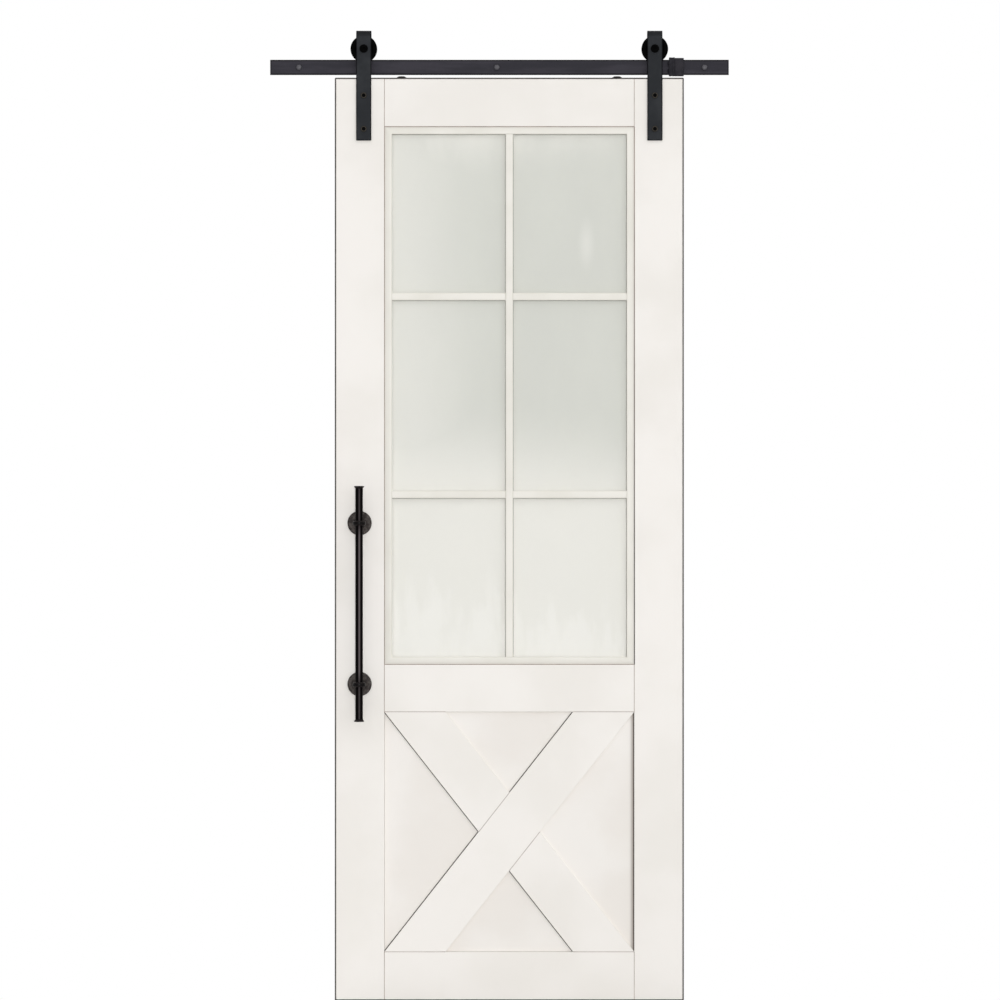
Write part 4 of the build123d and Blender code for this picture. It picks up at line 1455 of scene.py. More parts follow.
@dataclass
class Glazing:
    """The frosted pane, the beads round it and the bars on it.

    Attributes:
        nose: The radius of a bead's edge beside the glass.
        arris: The radius of its other shown edge, and of the pane's edges.
        pane_shadow_radius: The radius of the painted shadow lines along the lights.
        pane_shadow_rise: How far their middle lies over the glass, in radii.
        pane_shadow_shift: How far they lie in from a light's side, in radii.
    """

    nose: float = 2.5 * MM
    arris: float = 0.5 * MM
    pane_shadow_radius: float = 0.8 * MM
    pane_shadow_rise: float = 0.5
    pane_shadow_shift: float = 0.35

    def __post_init__(self) -> None:
        """Find the opening, the pane and the bars in the frame."""
        self.low_x = Box.of("left_stile").high.x
        self.high_x = Box.of("right_stile").low.x
        self.low_z = Box.of("middle_rail").high.z
        self.high_z = Box.of("top_rail").low.z
        self.pane = Box.of("glass_pane")
        self.upright = Box.of("glazing_upright_front")
        self.cross = Box.of("glazing_cross_bars_front")
        self.width = self.upright.size.x

    def build(self) -> None:
        """Make the pane, the beads, the bars and the painted shadow lines on the glass."""
        pane = Shape().block(self.pane, self.arris, steps=2)
        pane.piece("frosted_pane", Paints.glass, "door", ["glass_pane"])
        dress(Paints.tape, "glazing_tape_front", "glazing_tape_back")
        dress(Plastics.rubber, "setting_blocks")
        for face in ("front", "back"):
            box = Box.of(f"glazing_side_beads_{face}")
            shown, hidden = (box.low.y, box.high.y) if face == "front" else (box.high.y, box.low.y)
            self.build_beads(face, shown, hidden)
            self.build_bars(face, shown, hidden)
            self.build_pane_shadow(face, hidden, math.copysign(1.0, shown - hidden))

    def section(self, shown: float, hidden: float, edge: Sequence[Flat]) -> list[Flat]:
        """Give a moulding's section, as (distance across, depth), with the nose at its far side.

        Args:
            shown: The depth of the shown face.
            hidden: The depth of the face on the glass.
            edge: The quarter round at its near side.

        Returns:
            The section's points in order.
        """
        inward = math.copysign(1.0, hidden - shown)
        first = sorted((v, shown + inward * u) for u, v in edge)
        last = sorted((self.width - v, shown + inward * u) for u, v in rounded(self.nose, 5))
        return [(0.0, hidden), *first, *last, (self.width, hidden)]

    def bead(self, section: Sequence[Flat], upright: bool, way: int) -> list[Ring]:
        """Give the mitred ends of one bead.

        Args:
            section: The bead's section.
            upright: True for a bead that stands, False for one that lies.
            way: -1 for the left or the lower bead, 1 for the right or the upper one.

        Returns:
            The rings at its two ends.
        """
        middle_x, middle_z = (self.low_x + self.high_x) / 2, (self.low_z + self.high_z) / 2
        half_x, half_z = (self.high_x - self.low_x) / 2, (self.high_z - self.low_z) / 2
        rings = []
        for end in (-1, 1):
            side_x, side_z = (way, end) if upright else (end, way)
            rings.append([
                Vector((
                    middle_x + side_x * (half_x - inward), y, middle_z + side_z * (half_z - inward),
                ))
                for inward, y in section
            ])
        return rings

    def build_beads(self, face: str, shown: float, hidden: float) -> None:
        """Make the four mitred beads of one face.

        Args:
            face: The face's name.
            shown: The depth of the shown face.
            hidden: The depth of the face on the glass.
        """
        section = self.section(shown, hidden, rounded(self.arris, 2))
        for kind in ("side", "end"):
            shape = Shape()
            for way in (-1, 1):
                shape.loft(self.bead(section, kind == "side", way))
            node = f"glazing_{kind}_beads_{face}"
            shape.piece(f"{kind}_bead_moulding_{face}", Paints.trim, "door", [node])

    def bar(self, shape: Shape, box: Box, section: Sequence[Flat], upright: bool) -> None:
        """Add one bar.

        Args:
            shape: The shape to add to.
            box: The bar's place.
            section: The bar's section.
            upright: True for a bar that stands, False for one that lies.
        """
        if upright:
            ends = (box.low.z, box.high.z)
            rings = [[Vector((box.low.x + u, y, z)) for u, y in section] for z in ends]
        else:
            ends = (box.low.x, box.high.x)
            rings = [[Vector((x, y, box.low.z + u)) for u, y in section] for x in ends]
        shape.loft(rings)

    def bar_heights(self) -> Flat:
        """Give the heights of the two lying bars' lower edges."""
        return self.cross.low.z, self.cross.high.z - self.width

    def build_bars(self, face: str, shown: float, hidden: float) -> None:
        """Make the upright and the lying bars of one face.

        Args:
            face: The face's name.
            shown: The depth of the shown face.
            hidden: The depth of the face on the glass.
        """
        section = self.section(shown, hidden, rounded(self.nose, 5))
        shape = Shape()
        self.bar(shape, self.upright, section, True)
        shape.piece(f"upright_bar_{face}", Paints.trim, "door", [f"glazing_upright_{face}"])
        shape = Shape()
        spans = ((self.cross.low.x, self.upright.low.x), (self.upright.high.x, self.cross.high.x))
        for z in self.bar_heights():
            for low_x, high_x in spans:
                box = Box(Vector((low_x, shown, z)), Vector((high_x, hidden, z + self.width)))
                self.bar(shape, box, section, False)
        shape.piece(f"lying_bars_{face}", Paints.trim, "door", [f"glazing_cross_bars_{face}"])

    def build_pane_shadow(self, face: str, hidden: float, outward: float) -> None:
        """Lay painted shadow lines along the shaded sides of the six lights: each light's top and
        right side, and the left side of the right-hand lights.

        Args:
            face: The face's name.
            hidden: The depth of the beads' face on the glass.
            outward: The way from the glass to the viewer of this face.
        """
        glass = self.pane.low.y if outward < 0 else self.pane.high.y
        y = glass + outward * self.pane_shadow_rise * self.pane_shadow_radius
        edge = self.pane_shadow_shift * self.pane_shadow_radius
        lights_x = (
            (self.low_x + self.width, self.upright.low.x),
            (self.upright.high.x, self.high_x - self.width),
        )
        lower, upper = self.bar_heights()
        lights_z = (
            (self.low_z + self.width, lower),
            (lower + self.width, upper),
            (upper + self.width, self.high_z - self.width),
        )
        runs = []
        for low_x, high_x in lights_x:
            for low_z, high_z in lights_z:
                runs.append([(low_x, y, high_z - edge), (high_x, y, high_z - edge)])
                runs.append([(high_x - edge, y, low_z), (high_x - edge, y, high_z)])
                if low_x > self.upright.low.x:
                    runs.append([(low_x + edge, y, low_z), (low_x + edge, y, high_z)])
        radius = self.pane_shadow_radius
        lines(f"sealant_{face}", runs, radius, Paints.pane_shadow, "door", "glazing_tape")


class Side(Enum):
    """The two sides of the door, as the room sees it."""

    LEFT = "left"
    RIGHT = "right"


@dataclass(frozen=True)
class Station:
    """One place along a folded strap.

    Attributes:
        y: The depth of the strap's middle there.
        z: Its height.
        out_y: The depth part of the direction out of the fold.
        out_z: The height part of that direction.
        from_end: How far it is from the nearer end of the strap.
        corner: The radius of the corners at that end.
    """

    y: float
    z: float
    out_y: float
    out_z: float
    from_end: float
    corner: float

    def inset(self) -> float:
        """Give how far the strap's sides come in here, where its corners are rounded.

        Returns:
            How far, for each side.
        """
        if self.from_end >= self.corner:
            return 0.0
        return self.corner - math.sqrt(self.corner**2 - (self.corner - self.from_end) ** 2)


@dataclass
class Hanger:
    """A folded strap with its axle, bearing and grooved wheel.

    Attributes:
        side: Which hanger it is.
        thickness: The strap's thickness.
        rear_end: The height where the strap's rear leg ends.
        strap_radius: The radius of the strap's long edges.
        border: The width of the painted shade along the strap's edges.
        foot_corner: The radius of the corners at the strap's foot.
        rear_corner: The radius of the corners at the end of its rear leg.
        bend_steps: How many faces go round the bend.
        painted_crown_shade: How strong the painted shade is on the crown of the bend.
        axle_radius: The radius of the axle's shank.
        dimple_radius: The radius of the dimple in the axle's head.
        hub_half: Half the thickness of the wheel's hub.
        seat_radius: The radius of the wheel's seat for the bearing.
        shoulder_radius: The radius of the shoulder behind that seat.
        groove_radius: The radius of the groove's floor.
        groove_half: Half the width of the groove's floor.
        groove_flare: How much wider the groove is at the rim, on each side.
    """

    side: Side
    thickness: float = 5.0 * MM
    rear_end: float = 24.5 * MM
    strap_radius: float = 0.8 * MM
    border: float = 3.0 * MM
    foot_corner: float = 1.5 * MM
    rear_corner: float = 9.0 * MM
    bend_steps: int = 24
    painted_crown_shade: float = 0.75
    axle_radius: float = 5.0 * MM
    dimple_radius: float = 3.6 * MM
    hub_half: float = 6.0 * MM
    seat_radius: float = 15.02 * MM
    shoulder_radius: float = 13.0 * MM
    groove_radius: float = 28.2 * MM
    groove_half: float = 4.0 * MM
    groove_flare: float = 1.5 * MM

    def __post_init__(self) -> None:
        """Find the strap, the axle and the wheel in the frame."""
        name = self.side.value
        self.strap = Box.of(f"{name}_strap")
        self.axle = Box.of(f"{name}_axle_bolt")
        self.wheel = Box.of(f"{name}_wheel")
        self.x = self.strap.centre.x
        self.z = self.axle.centre.z

    def build(self) -> None:
        """Make the strap, the axle and the wheel."""
        self.build_strap()
        self.build_axle()
        self.build_wheel()
        name = self.side.value
        dress(Metals.bearing, f"{name}_bearing_outer", f"{name}_bearing_cage")

    def path(self) -> list[Station]:
        """Follow the strap's middle from its foot over the bend to its rear end.

        Returns:
            The stations in order.
        """
        outer = self.strap.size.y / 2
        bend_z = self.strap.high.z - outer
        middle = outer - self.thickness / 2
        centre_y = self.strap.centre.y
        front_length = bend_z - self.strap.low.z
        rear_length = bend_z - self.rear_end
        foot = [self.foot_corner * (1 - math.cos(math.pi / 2 * i / 4)) for i in range(5)]
        foot += [self.border, 0.25 * front_length, 0.5 * front_length, 0.75 * front_length]
        rear = [self.rear_corner * (1 - math.cos(math.pi / 2 * i / 8)) for i in range(9)]
        rear += [0.5 * (rear_length + self.rear_corner)]
        stations = [
            Station(centre_y - middle, self.strap.low.z + step, -1.0, 0.0, step, self.foot_corner)
            for step in foot
        ]
        for i in range(self.bend_steps + 1):
            turn = math.pi * i / self.bend_steps
            out_y, out_z = -math.cos(turn), math.sin(turn)
            y, z = centre_y + middle * out_y, bend_z + middle * out_z
            stations.append(Station(y, z, out_y, out_z, math.inf, 0.0))
        stations += [
            Station(centre_y + middle, self.rear_end + step, 1.0, 0.0, step, self.rear_corner)
            for step in reversed(rear)
        ]
        return stations

    def build_strap(self) -> None:
        """Sweep the strap's section along its folded line."""
        half_width = self.strap.size.x / 2
        rings, tones = [], []
        for at in self.path():
            width = half_width - at.inset()
            section = flat_section(width, self.thickness / 2, self.strap_radius, self.border)
            # The edge tone is painted shade: along the strap's edges, at its ends and on the crown
            # of the bend.
            painted_end_shade = 1.0 if at.from_end < self.border / 2 else 0.0
            painted_crown_shade = self.painted_crown_shade * max(0.0, at.out_z) ** 0.5
            rings.append([
                Vector((self.x + u, at.y + at.out_y * v, at.z + at.out_z * v))
                for u, v, _ in section
            ])
            tones.append([max(edge, painted_end_shade, painted_crown_shade) for _, _, edge in section])
        name = f"{self.side.value}_strap"
        Shape().loft(rings, tones).piece(f"folded_{name}", Metals.strap, "door", [name])

    def build_axle(self) -> None:
        """Turn the axle bolt: a flat head with a dimple, the shank and a chamfered tip."""
        radius = self.axle_radius
        head = self.strap.low.y - self.axle.low.y
        length = self.axle.size.y
        head_radius = self.axle.size.z / 2
        profile = [
            Turn(0.5 * MM, 0.0), Turn(0.5 * MM, self.dimple_radius - 0.6 * MM),
            Turn(0.0, self.dimple_radius), Turn(0.0, head_radius - 1.4 * MM),
            Turn(0.4 * MM, head_radius - 0.5 * MM), Turn(1.4 * MM, head_radius),
            Turn(head - 0.2 * MM, head_radius), Turn(head, head_radius - 0.2 * MM),
            Turn(head, radius), Turn(length - 1.0 * MM, radius),
            Turn(length, radius - 1.0 * MM), Turn(length, 0.0),
        ]
        name = f"{self.side.value}_axle_bolt"
        centre = Vector((self.x, self.axle.low.y, self.z))
        shape = Shape().turned(profile, centre, BACKWARD)
        shape.piece(f"{name}_turned", Metals.axle, "door", [name])

    def build_wheel(self) -> None:
        """Turn the grooved wheel, its rims, groove and dished web rounded."""
        half, rim = self.wheel.size.y / 2, self.wheel.size.z / 2
        hub, seat, shoulder = self.hub_half, self.seat_radius, self.shoulder_radius
        root, root_half, flare = self.groove_radius, self.groove_half, self.groove_flare
        # The rims take the edge tone: painted shade.
        face = [
            Turn(-hub, seat), Turn(-hub, 19.6 * MM), Turn(-hub - 0.4 * MM, 20.4 * MM),
            Turn(-half + 0.4 * MM, 24.1 * MM), Turn(-half, 24.9 * MM),
            Turn(-half, rim - 1.3 * MM, edge=1.0),
            Turn(-half + 0.4 * MM, rim - 0.4 * MM, edge=1.0),
            Turn(-half + 1.3 * MM, rim, edge=1.0),
            Turn(-root_half - flare - 0.4 * MM, rim, edge=1.0),
            Turn(-root_half - flare, rim - 0.4 * MM),
            Turn(-root_half - 0.15 * MM, root + 0.6 * MM), Turn(-root_half + 0.6 * MM, root),
        ]
        mirrored = [Turn(-turn.offset, turn.radius, edge=turn.edge) for turn in reversed(face)]
        bore = [Turn(hub, shoulder), Turn(hub - 1.5 * MM, shoulder), Turn(hub - 1.5 * MM, seat)]
        centre = Vector((self.x, self.wheel.centre.y, self.z))
        name = f"{self.side.value}_wheel"
        shape = Shape().turned(face + mirrored[:-1] + bore, centre, BACKWARD, steps=96)
        shape.piece(f"grooved_{name}", Plastics.wheel, f"{self.side.value}_roller", [name])


@dataclass
class HangerBolts:
    """The four bolts that hold the straps, their nuts and the axles' small parts.

    Attributes:
        head_radius: The radius of a head.
        head_height: The height of a head.
        socket: Half the width across the flats of its socket.
        rim_radius: The radius where the domed face begins, outside the socket's chamfer.
        socket_depth: The depth of its socket.
        shank_radius: The radius of the shank.
    """

    head_radius: float = 8.0 * MM
    head_height: float = 4.5 * MM
    socket: float = 3.7 * MM
    rim_radius: float = 5.5 * MM
    socket_depth: float = 2.6 * MM
    shank_radius: float = 4.0 * MM

    def build(self) -> None:
        """Make the button heads, and dress the nuts, bushes and inner rings."""
        bolts = Box.of("hanger_bolts")
        xs = (bolts.low.x + self.head_radius, bolts.high.x - self.head_radius)
        zs = (bolts.low.z + self.head_radius, bolts.high.z - self.head_radius)
        points = [(x, bolts.low.y, z) for x in xs for z in zs]
        # The dome's edge tone is a painted highlight ring, strongest next to the socket.
        dome = [
            Turn(
                self.head_height * (1 - math.cos(turn)),
                self.rim_radius + (self.head_radius - self.rim_radius) * math.sin(turn),
                edge=1.0 - 0.9 * math.sin(turn) ** 2,
            )
            for turn in (math.pi / 2 * i / 7 for i in range(8))
        ]
        profile = [
            Turn(self.socket_depth, 0.0), Turn(self.socket_depth, self.socket, Form.HEXAGON),
            Turn(0.5 * MM, self.socket, Form.HEXAGON), Turn(0.0, self.rim_radius - 0.4 * MM),
            *dome[:-1],
            Turn(self.head_height - 0.3 * MM, self.head_radius),
            Turn(self.head_height, self.head_radius - 0.2 * MM),
            Turn(self.head_height, self.shank_radius), Turn(bolts.size.y, self.shank_radius),
            Turn(bolts.size.y, 0.0),
        ]
        shape = Shape().turned(profile, ORIGIN, BACKWARD, steps=36)
        copied("button_head_bolts", shape, points, Metals.strap_fastener, "door", "hanger_bolts")
        dress(Metals.strap_fastener, "hanger_nuts")
        dress(Metals.fastener, "axle_nuts", "axle_bushes")
        dress(Metals.bearing, "bearing_inner_rings")


@dataclass
class Track:
    """The flat bar, its spacers and its screws.

    Attributes:
        radius: The radius of the bar's long edges.
        border: The width of the painted shade along the bar's edges.
        head_flats: Half the width across the flats of a screw's head.
        head_height: The height of a screw's head.
        shank_radius: The radius of a screw's shank.
        core_radius: The radius of a screw under its thread.
        thread_turns: How many turns the thread has.
        ridge_radius: How far the thread's ridge stands from its own middle.
    """

    radius: float = 0.8 * MM
    border: float = 4.6 * MM
    head_flats: float = 6.5 * MM
    head_height: float = 5.5 * MM
    shank_radius: float = 4.0 * MM
    core_radius: float = 3.1 * MM
    thread_turns: float = 15.0
    ridge_radius: float = 0.7 * MM

    def build(self) -> None:
        """Make the bar and the screws, and dress the spacers."""
        self.build_bar()
        self.build_screws()
        dress(Metals.track, "wall_spacer_left", "wall_spacer_middle", "wall_spacer_right")

    def build_bar(self) -> None:
        """Run the bar's section from end to end, with painted shade along its edges and at its
        ends.
        """
        bar = Box.of("track_bar")
        length = bar.size.x
        stations = (0.0, self.border, 0.25 * length, 0.5 * length, 0.75 * length)
        stations += (length - self.border, length)
        section = flat_section(bar.size.z / 2, bar.size.y / 2, self.radius, self.border)
        rings, tones = [], []
        for station in stations:
            at_end = station in (0.0, length)
            x = bar.low.x + station
            rings.append([Vector((x, bar.centre.y + v, bar.centre.z + u)) for u, v, _ in section])
            tones.append([1.0 if at_end else edge for _, _, edge in section])
        Shape().loft(rings, tones).piece("flat_track_bar", Metals.track, "track", ["track_bar"])

    def build_screws(self) -> None:
        """Copy the hexagon-headed screw to each mount and wind its thread."""
        mounts = [m for m in frame["record"]["mounts"] if m["name"].startswith("track_screw")]
        screws = Box.of("track_screws")
        grip = mounts[0]["dims"]["length_mm"] * MM
        head, flange = self.head_height, self.head_flats * 1.08
        start = -screws.low.y
        # The head's face takes a lighter edge tone: a painted highlight.
        profile = [
            Turn(0.0, 0.0, edge=0.5), Turn(0.0, self.head_flats * 0.78, edge=0.7),
            Turn(0.7 * MM, self.head_flats * 0.97, edge=0.6),
            Turn(1.3 * MM, self.head_flats, Form.HEXAGON, 0.4),
            Turn(head - 1.0 * MM, self.head_flats, Form.HEXAGON), Turn(head - 0.9 * MM, flange),
            Turn(head, flange), Turn(head, self.shank_radius), Turn(start, self.shank_radius),
            Turn(start + 1.5 * MM, self.core_radius), Turn(start + grip, self.core_radius),
            Turn(screws.size.y, 0.0),
        ]
        points = [(m["pos_m"][0], screws.low.y, m["pos_m"][2]) for m in mounts]
        shape = Shape().turned(profile, ORIGIN, BACKWARD, steps=36)
        copied("hexagon_head_screws", shape, points, Metals.fastener, "track", "track_screws")
        ridge = self.ridge_radius
        values = {
            "Turns": self.thread_turns, "Steps": int(self.thread_turns * 24),
            "Radius": self.core_radius, "Length": grip - 2 * ridge, "Ridge": ridge,
            "Material": Metals.fastener.material(),
        }
        points = [(m["pos_m"][0], ridge, m["pos_m"][2]) for m in mounts]
        mesh = recipes.thread.bake("screw_threads", points, (), values)
        placed(mesh, "screw_threads", "track", (), "black_fastener")


@dataclass
class EndStop:
    """The collar clamped on the bar and its rubber bumper.

    Attributes:
        radius: The radius of the collar's long edges.
        arris: The radius of its end edges.
        groove_width: The width of a groove across the bumper.
        groove_depth: The depth of that groove.
        slack: The room between the collar and the bar.
        buffer_reach: How far the two buffers stand out of the bumper.
        buffer_place: The depth of their middles, and how far they lie over and under the bar's.
        buffer_half: Half their thickness and half their height.
        buffer_round: The radius of their edges.
    """

    radius: float = 2.0 * MM
    arris: float = 0.8 * MM
    groove_width: float = 1.6 * MM
    groove_depth: float = 0.7 * MM
    slack: float = 0.2 * MM
    buffer_reach: float = 3.5 * MM
    buffer_place: Flat = (-41.6 * MM, 9.75 * MM)
    buffer_half: Flat = (2.5 * MM, 4.5 * MM)
    buffer_round: float = 1.2 * MM

    def build(self) -> None:
        """Make the collar, the bumper and its buffers."""
        body = Box.of("end_stop_body")
        bumper = Box.of("end_stop_bumper")
        bar = Box.of("track_bar")
        edge = [(0.0, self.arris), (0.3 * self.arris, 0.3 * self.arris), (self.arris, 0.0)]
        shape = Shape()
        self.collar(shape, body, bar, edge)
        shape.piece("stop_collar", Metals.stop, "track", ["end_stop_body"])
        shape = Shape()
        block = Box(bumper.low + Vector((self.buffer_reach, 0, 0)), bumper.high)
        middle, width, depth = block.size.x / 2, self.groove_width, self.groove_depth
        groove = [
            (middle - width, 0.0), (middle - 0.4 * width, depth),
            (middle + 0.4 * width, depth), (middle + width, 0.0),
        ]
        self.collar(shape, block, bar, [*edge, *groove])
        (y, rise), (half_y, half_z) = self.buffer_place, self.buffer_half
        for way in (-1, 1):
            z = bar.centre.z + way * rise
            low = Vector((bumper.low.x, y - half_y, z - half_z))
            high = Vector((block.low.x + self.arris, y + half_y, z + half_z))
            shape.block(Box(low, high), self.buffer_round, steps=3, edge=1.0)
        shape.piece("stop_bumper", Plastics.rubber, "track", ["end_stop_bumper"])
        dress(Metals.fastener, "end_stop_screws")

    def collar(self, shape: Shape, box: Box, bar: Box, steps: Sequence[Flat]) -> None:
        """Add a closed collar round the bar.

        Args:
            shape: The shape to add to.
            box: The collar's place.
            bar: The bar's box.
            steps: From the left end: how far along, and how far the skin lies in from the box.
        """
        ends = [(box.size.x - along, inset) for along, inset in steps[::-1] if along <= self.arris]
        # The edge tone is painted shade: full at the ends, light over the outside, half inside the
        # hole.
        outer = []
        for along, inset in (*steps, *ends):
            pad = Vector((0, inset, inset))
            tone = 1.0 if along < self.arris or along > box.size.x - self.arris else 0.25
            x, skin = box.low.x + along, Box(box.low + pad, box.high - pad)
            outer.append(self.ring(shape, x, skin, self.radius, tone))
        room = Vector((0, self.slack, self.slack))
        hole = Box(bar.low - room, bar.high + room)
        inner = [self.ring(shape, x, hole, 0.3 * MM, 0.5) for x in (box.high.x, box.low.x)]
        shape.skin([*outer, *inner, outer[0]])

    def ring(
        self, shape: Shape, x: float, box: Box, radius: float, tone: float
    ) -> list[bmesh.types.BMVert]:
        """Add the vertices of one rounded rectangle across the track.

        Args:
            shape: The shape to add to.
            x: Its place along the track.
            box: The box whose height and depth it takes.
            radius: The radius of its corners.
            tone: Its edge tone.

        Returns:
            The vertices in order.
        """
        steps = 4
        made = []
        for quadrant, (side_y, side_z) in enumerate(((1, 1), (-1, 1), (-1, -1), (1, -1))):
            y = (box.high.y - radius) if side_y > 0 else (box.low.y + radius)
            z = (box.high.z - radius) if side_z > 0 else (box.low.z + radius)
            for step in range(steps + 1):
                angle = math.pi / 2 * step / steps + quadrant * math.pi / 2
                point = (x, y + radius * math.cos(angle), z + radius * math.sin(angle))
                vertex = shape.mesh.verts.new(point)
                vertex[shape.edge] = tone
                made.append(vertex)
        return made


@dataclass
class Handle:
    """The long pull: a round bar with flared caps on two posts.

    Attributes:
        bar_radius: The radius of the bar.
        neck_radius: The radius of a post's neck.
        eye_half: Half the height of a post's eye.
        eye_round: The radius of an eye's edges.
        eye_chamfer: The chamfer of an eye's bore.
        eye_play: The room between the bar and an eye.
        neck_gap: How far from the bar's middle a neck ends.
        bore_radius: The radius of a rosette's bore.
        highlight_turn: How far the painted highlight strip lies right of the bar's front, in
            radians.
        highlight_width: Half its width, in radians.
        highlight_fade: How far it fades out beyond that, in radians.
        highlight_outside: The share of the painted highlight outside the posts.
    """

    bar_radius: float = 10.0 * MM
    neck_radius: float = 7.5 * MM
    eye_half: float = 6.0 * MM
    eye_round: float = 3.0 * MM
    eye_chamfer: float = 0.8 * MM
    eye_play: float = 0.05 * MM
    neck_gap: float = 11.5 * MM
    bore_radius: float = 6.05 * MM
    highlight_turn: float = math.radians(4)
    highlight_width: float = math.radians(10)
    highlight_fade: float = math.radians(6)
    highlight_outside: float = 0.4

    def build(self) -> None:
        """Make the bar, the caps, the posts and the rosettes."""
        self.build_bar()
        for place in ("upper", "lower"):
            self.build_post(place)
            self.build_rosette(place)
        dress(Metals.fastener, "handle_screws")

    def build_bar(self) -> None:
        """Turn the bar, and the flared caps at its ends."""
        bar = Box.of("handle_bar")
        caps = Box.of("handle_caps")
        foot = Vector((bar.centre.x, bar.centre.y, bar.low.z))
        count = 24
        profile = [Turn(0.0, 0.0)]
        profile += [Turn(bar.size.z * i / count, self.bar_radius) for i in range(count + 1)]
        profile += [Turn(bar.size.z, 0.0)]
        shape = Shape().turned(profile, foot, UP, steps=64).shade(self.painted_highlight_tone)
        shape.piece("pull_bar", Metals.grip, "door", ["handle_bar"], "handle_bronze")
        rim = caps.size.x / 2
        height = bar.low.z - caps.low.z
        # The edge tone on the flare's rim is a painted highlight.
        flare = [
            Turn(0.0, 0.0), Turn(0.0, self.bar_radius + 0.15 * MM),
            Turn(0.25 * height, self.bar_radius + 0.6 * MM, edge=0.3),
            Turn(0.5 * height, rim - 0.9 * MM, edge=1.0),
            Turn(0.62 * height, rim - 0.2 * MM, edge=1.0), Turn(0.75 * height, rim, edge=1.0),
            Turn(0.88 * height, rim - 0.3 * MM, edge=0.6), Turn(height, rim - 1.6 * MM),
            Turn(height, 0.0),
        ]
        shape = Shape()
        shape.turned(flare, Vector((foot.x, foot.y, bar.high.z)), UP, steps=40)
        shape.turned(flare, foot, -UP, steps=40)
        shape.piece("flared_caps", Metals.bronze, "door", ["handle_caps"])

    def painted_highlight_tone(self, point: Vector) -> float:
        """Give the bar's painted highlight: a lighter strip along its front, strongest between the
        posts.

        Args:
            point: A place on the bar.

        Returns:
            The tone there, from 0 to 1.
        """
        bar = Box.of("handle_bar")
        turn = math.atan2(point.x - bar.centre.x, bar.centre.y - point.y)
        beyond = abs(turn - self.highlight_turn) - self.highlight_width
        band = 1.0 - min(1.0, max(0.0, beyond / self.highlight_fade))
        inside = Box.of("lower_rosette").high.z < point.z < Box.of("upper_rosette").low.z
        return band if inside else self.highlight_outside * band

    def build_post(self, place: str) -> None:
        """Turn one post: the eye round the bar and the neck behind it.

        Args:
            place: "upper" or "lower".
        """
        name = f"{place}_handle_post"
        post = Box.of(name)
        bar = Box.of("handle_bar")
        rosette = Box.of(f"{place}_rosette")
        z = rosette.centre.z
        half, outer, bore = self.eye_half, post.size.x / 2, self.bar_radius + self.eye_play
        top = sorted((half - v, outer - u) for u, v in rounded(self.eye_round, 5))
        shoulder = half - 2.5 * MM
        # The edge tone on the eye's top and bottom rims is a painted highlight.
        wall = [Turn(v, u, edge=0.8 if v > shoulder else 0.0) for v, u in top]
        lower = [Turn(-turn.offset, turn.radius, edge=turn.edge) for turn in reversed(wall)]
        chamfer = self.eye_chamfer
        profile = [Turn(-half, bore + chamfer), *lower, *wall, Turn(half, bore + chamfer)]
        profile += [Turn(half - chamfer, bore), Turn(chamfer - half, bore)]
        shape = Shape().turned(profile, Vector((bar.centre.x, bar.centre.y, z)), UP, steps=48)
        start = rosette.low.y
        reach = start - bar.centre.y - self.neck_gap
        # The edge tone on the neck's collar is a painted highlight.
        neck = [
            Turn(-2.0 * MM, 0.0), Turn(-2.0 * MM, 11.0 * MM), Turn(0.0, 12.5 * MM, edge=0.5),
            Turn(1.8 * MM, 12.5 * MM, edge=1.0), Turn(2.6 * MM, 12.0 * MM, edge=0.7),
            Turn(3.2 * MM, 10.4 * MM), Turn(4.6 * MM, 8.6 * MM),
            Turn(7.0 * MM, self.neck_radius), Turn(reach - 6.0 * MM, self.neck_radius),
            Turn(reach, self.neck_radius + 1.6 * MM), Turn(reach, 0.0),
        ]
        shape.turned(neck, Vector((post.centre.x, start, z)), FORWARD, steps=40)
        shape.piece(f"{name}_turned", Metals.bronze, "door", [name])

    def build_rosette(self, place: str) -> None:
        """Turn one rosette, its rim rounded and a shallow ring round its middle.

        Args:
            place: "upper" or "lower".
        """
        name = f"{place}_rosette"
        box = Box.of(name)
        outer, thick = box.size.x / 2, box.size.y
        # The rim and the shallow ring take the dark edge tone: painted shade.
        profile = [
            Turn(0.0, self.bore_radius), Turn(0.0, outer - 0.3 * MM, edge=1.0),
            Turn(0.3 * MM, outer, edge=1.0), Turn(thick - 1.6 * MM, outer, edge=1.0),
            Turn(thick - 0.9 * MM, outer - 0.3 * MM, edge=0.9),
            Turn(thick - 0.25 * MM, outer - 1.0 * MM, edge=0.4), Turn(thick, outer - 2.2 * MM),
            Turn(thick, outer - 6.0 * MM), Turn(thick, 16.0 * MM),
            Turn(thick - 0.4 * MM, 15.2 * MM, edge=0.5),
            Turn(thick - 0.4 * MM, self.bore_radius, edge=0.5),
        ]
        centre = Vector((box.centre.x, box.high.y, box.centre.z))
        shape = Shape().turned(profile, centre, FORWARD, steps=96)
        shape.piece(f"{name}_turned", Metals.rosette, "door", [name])


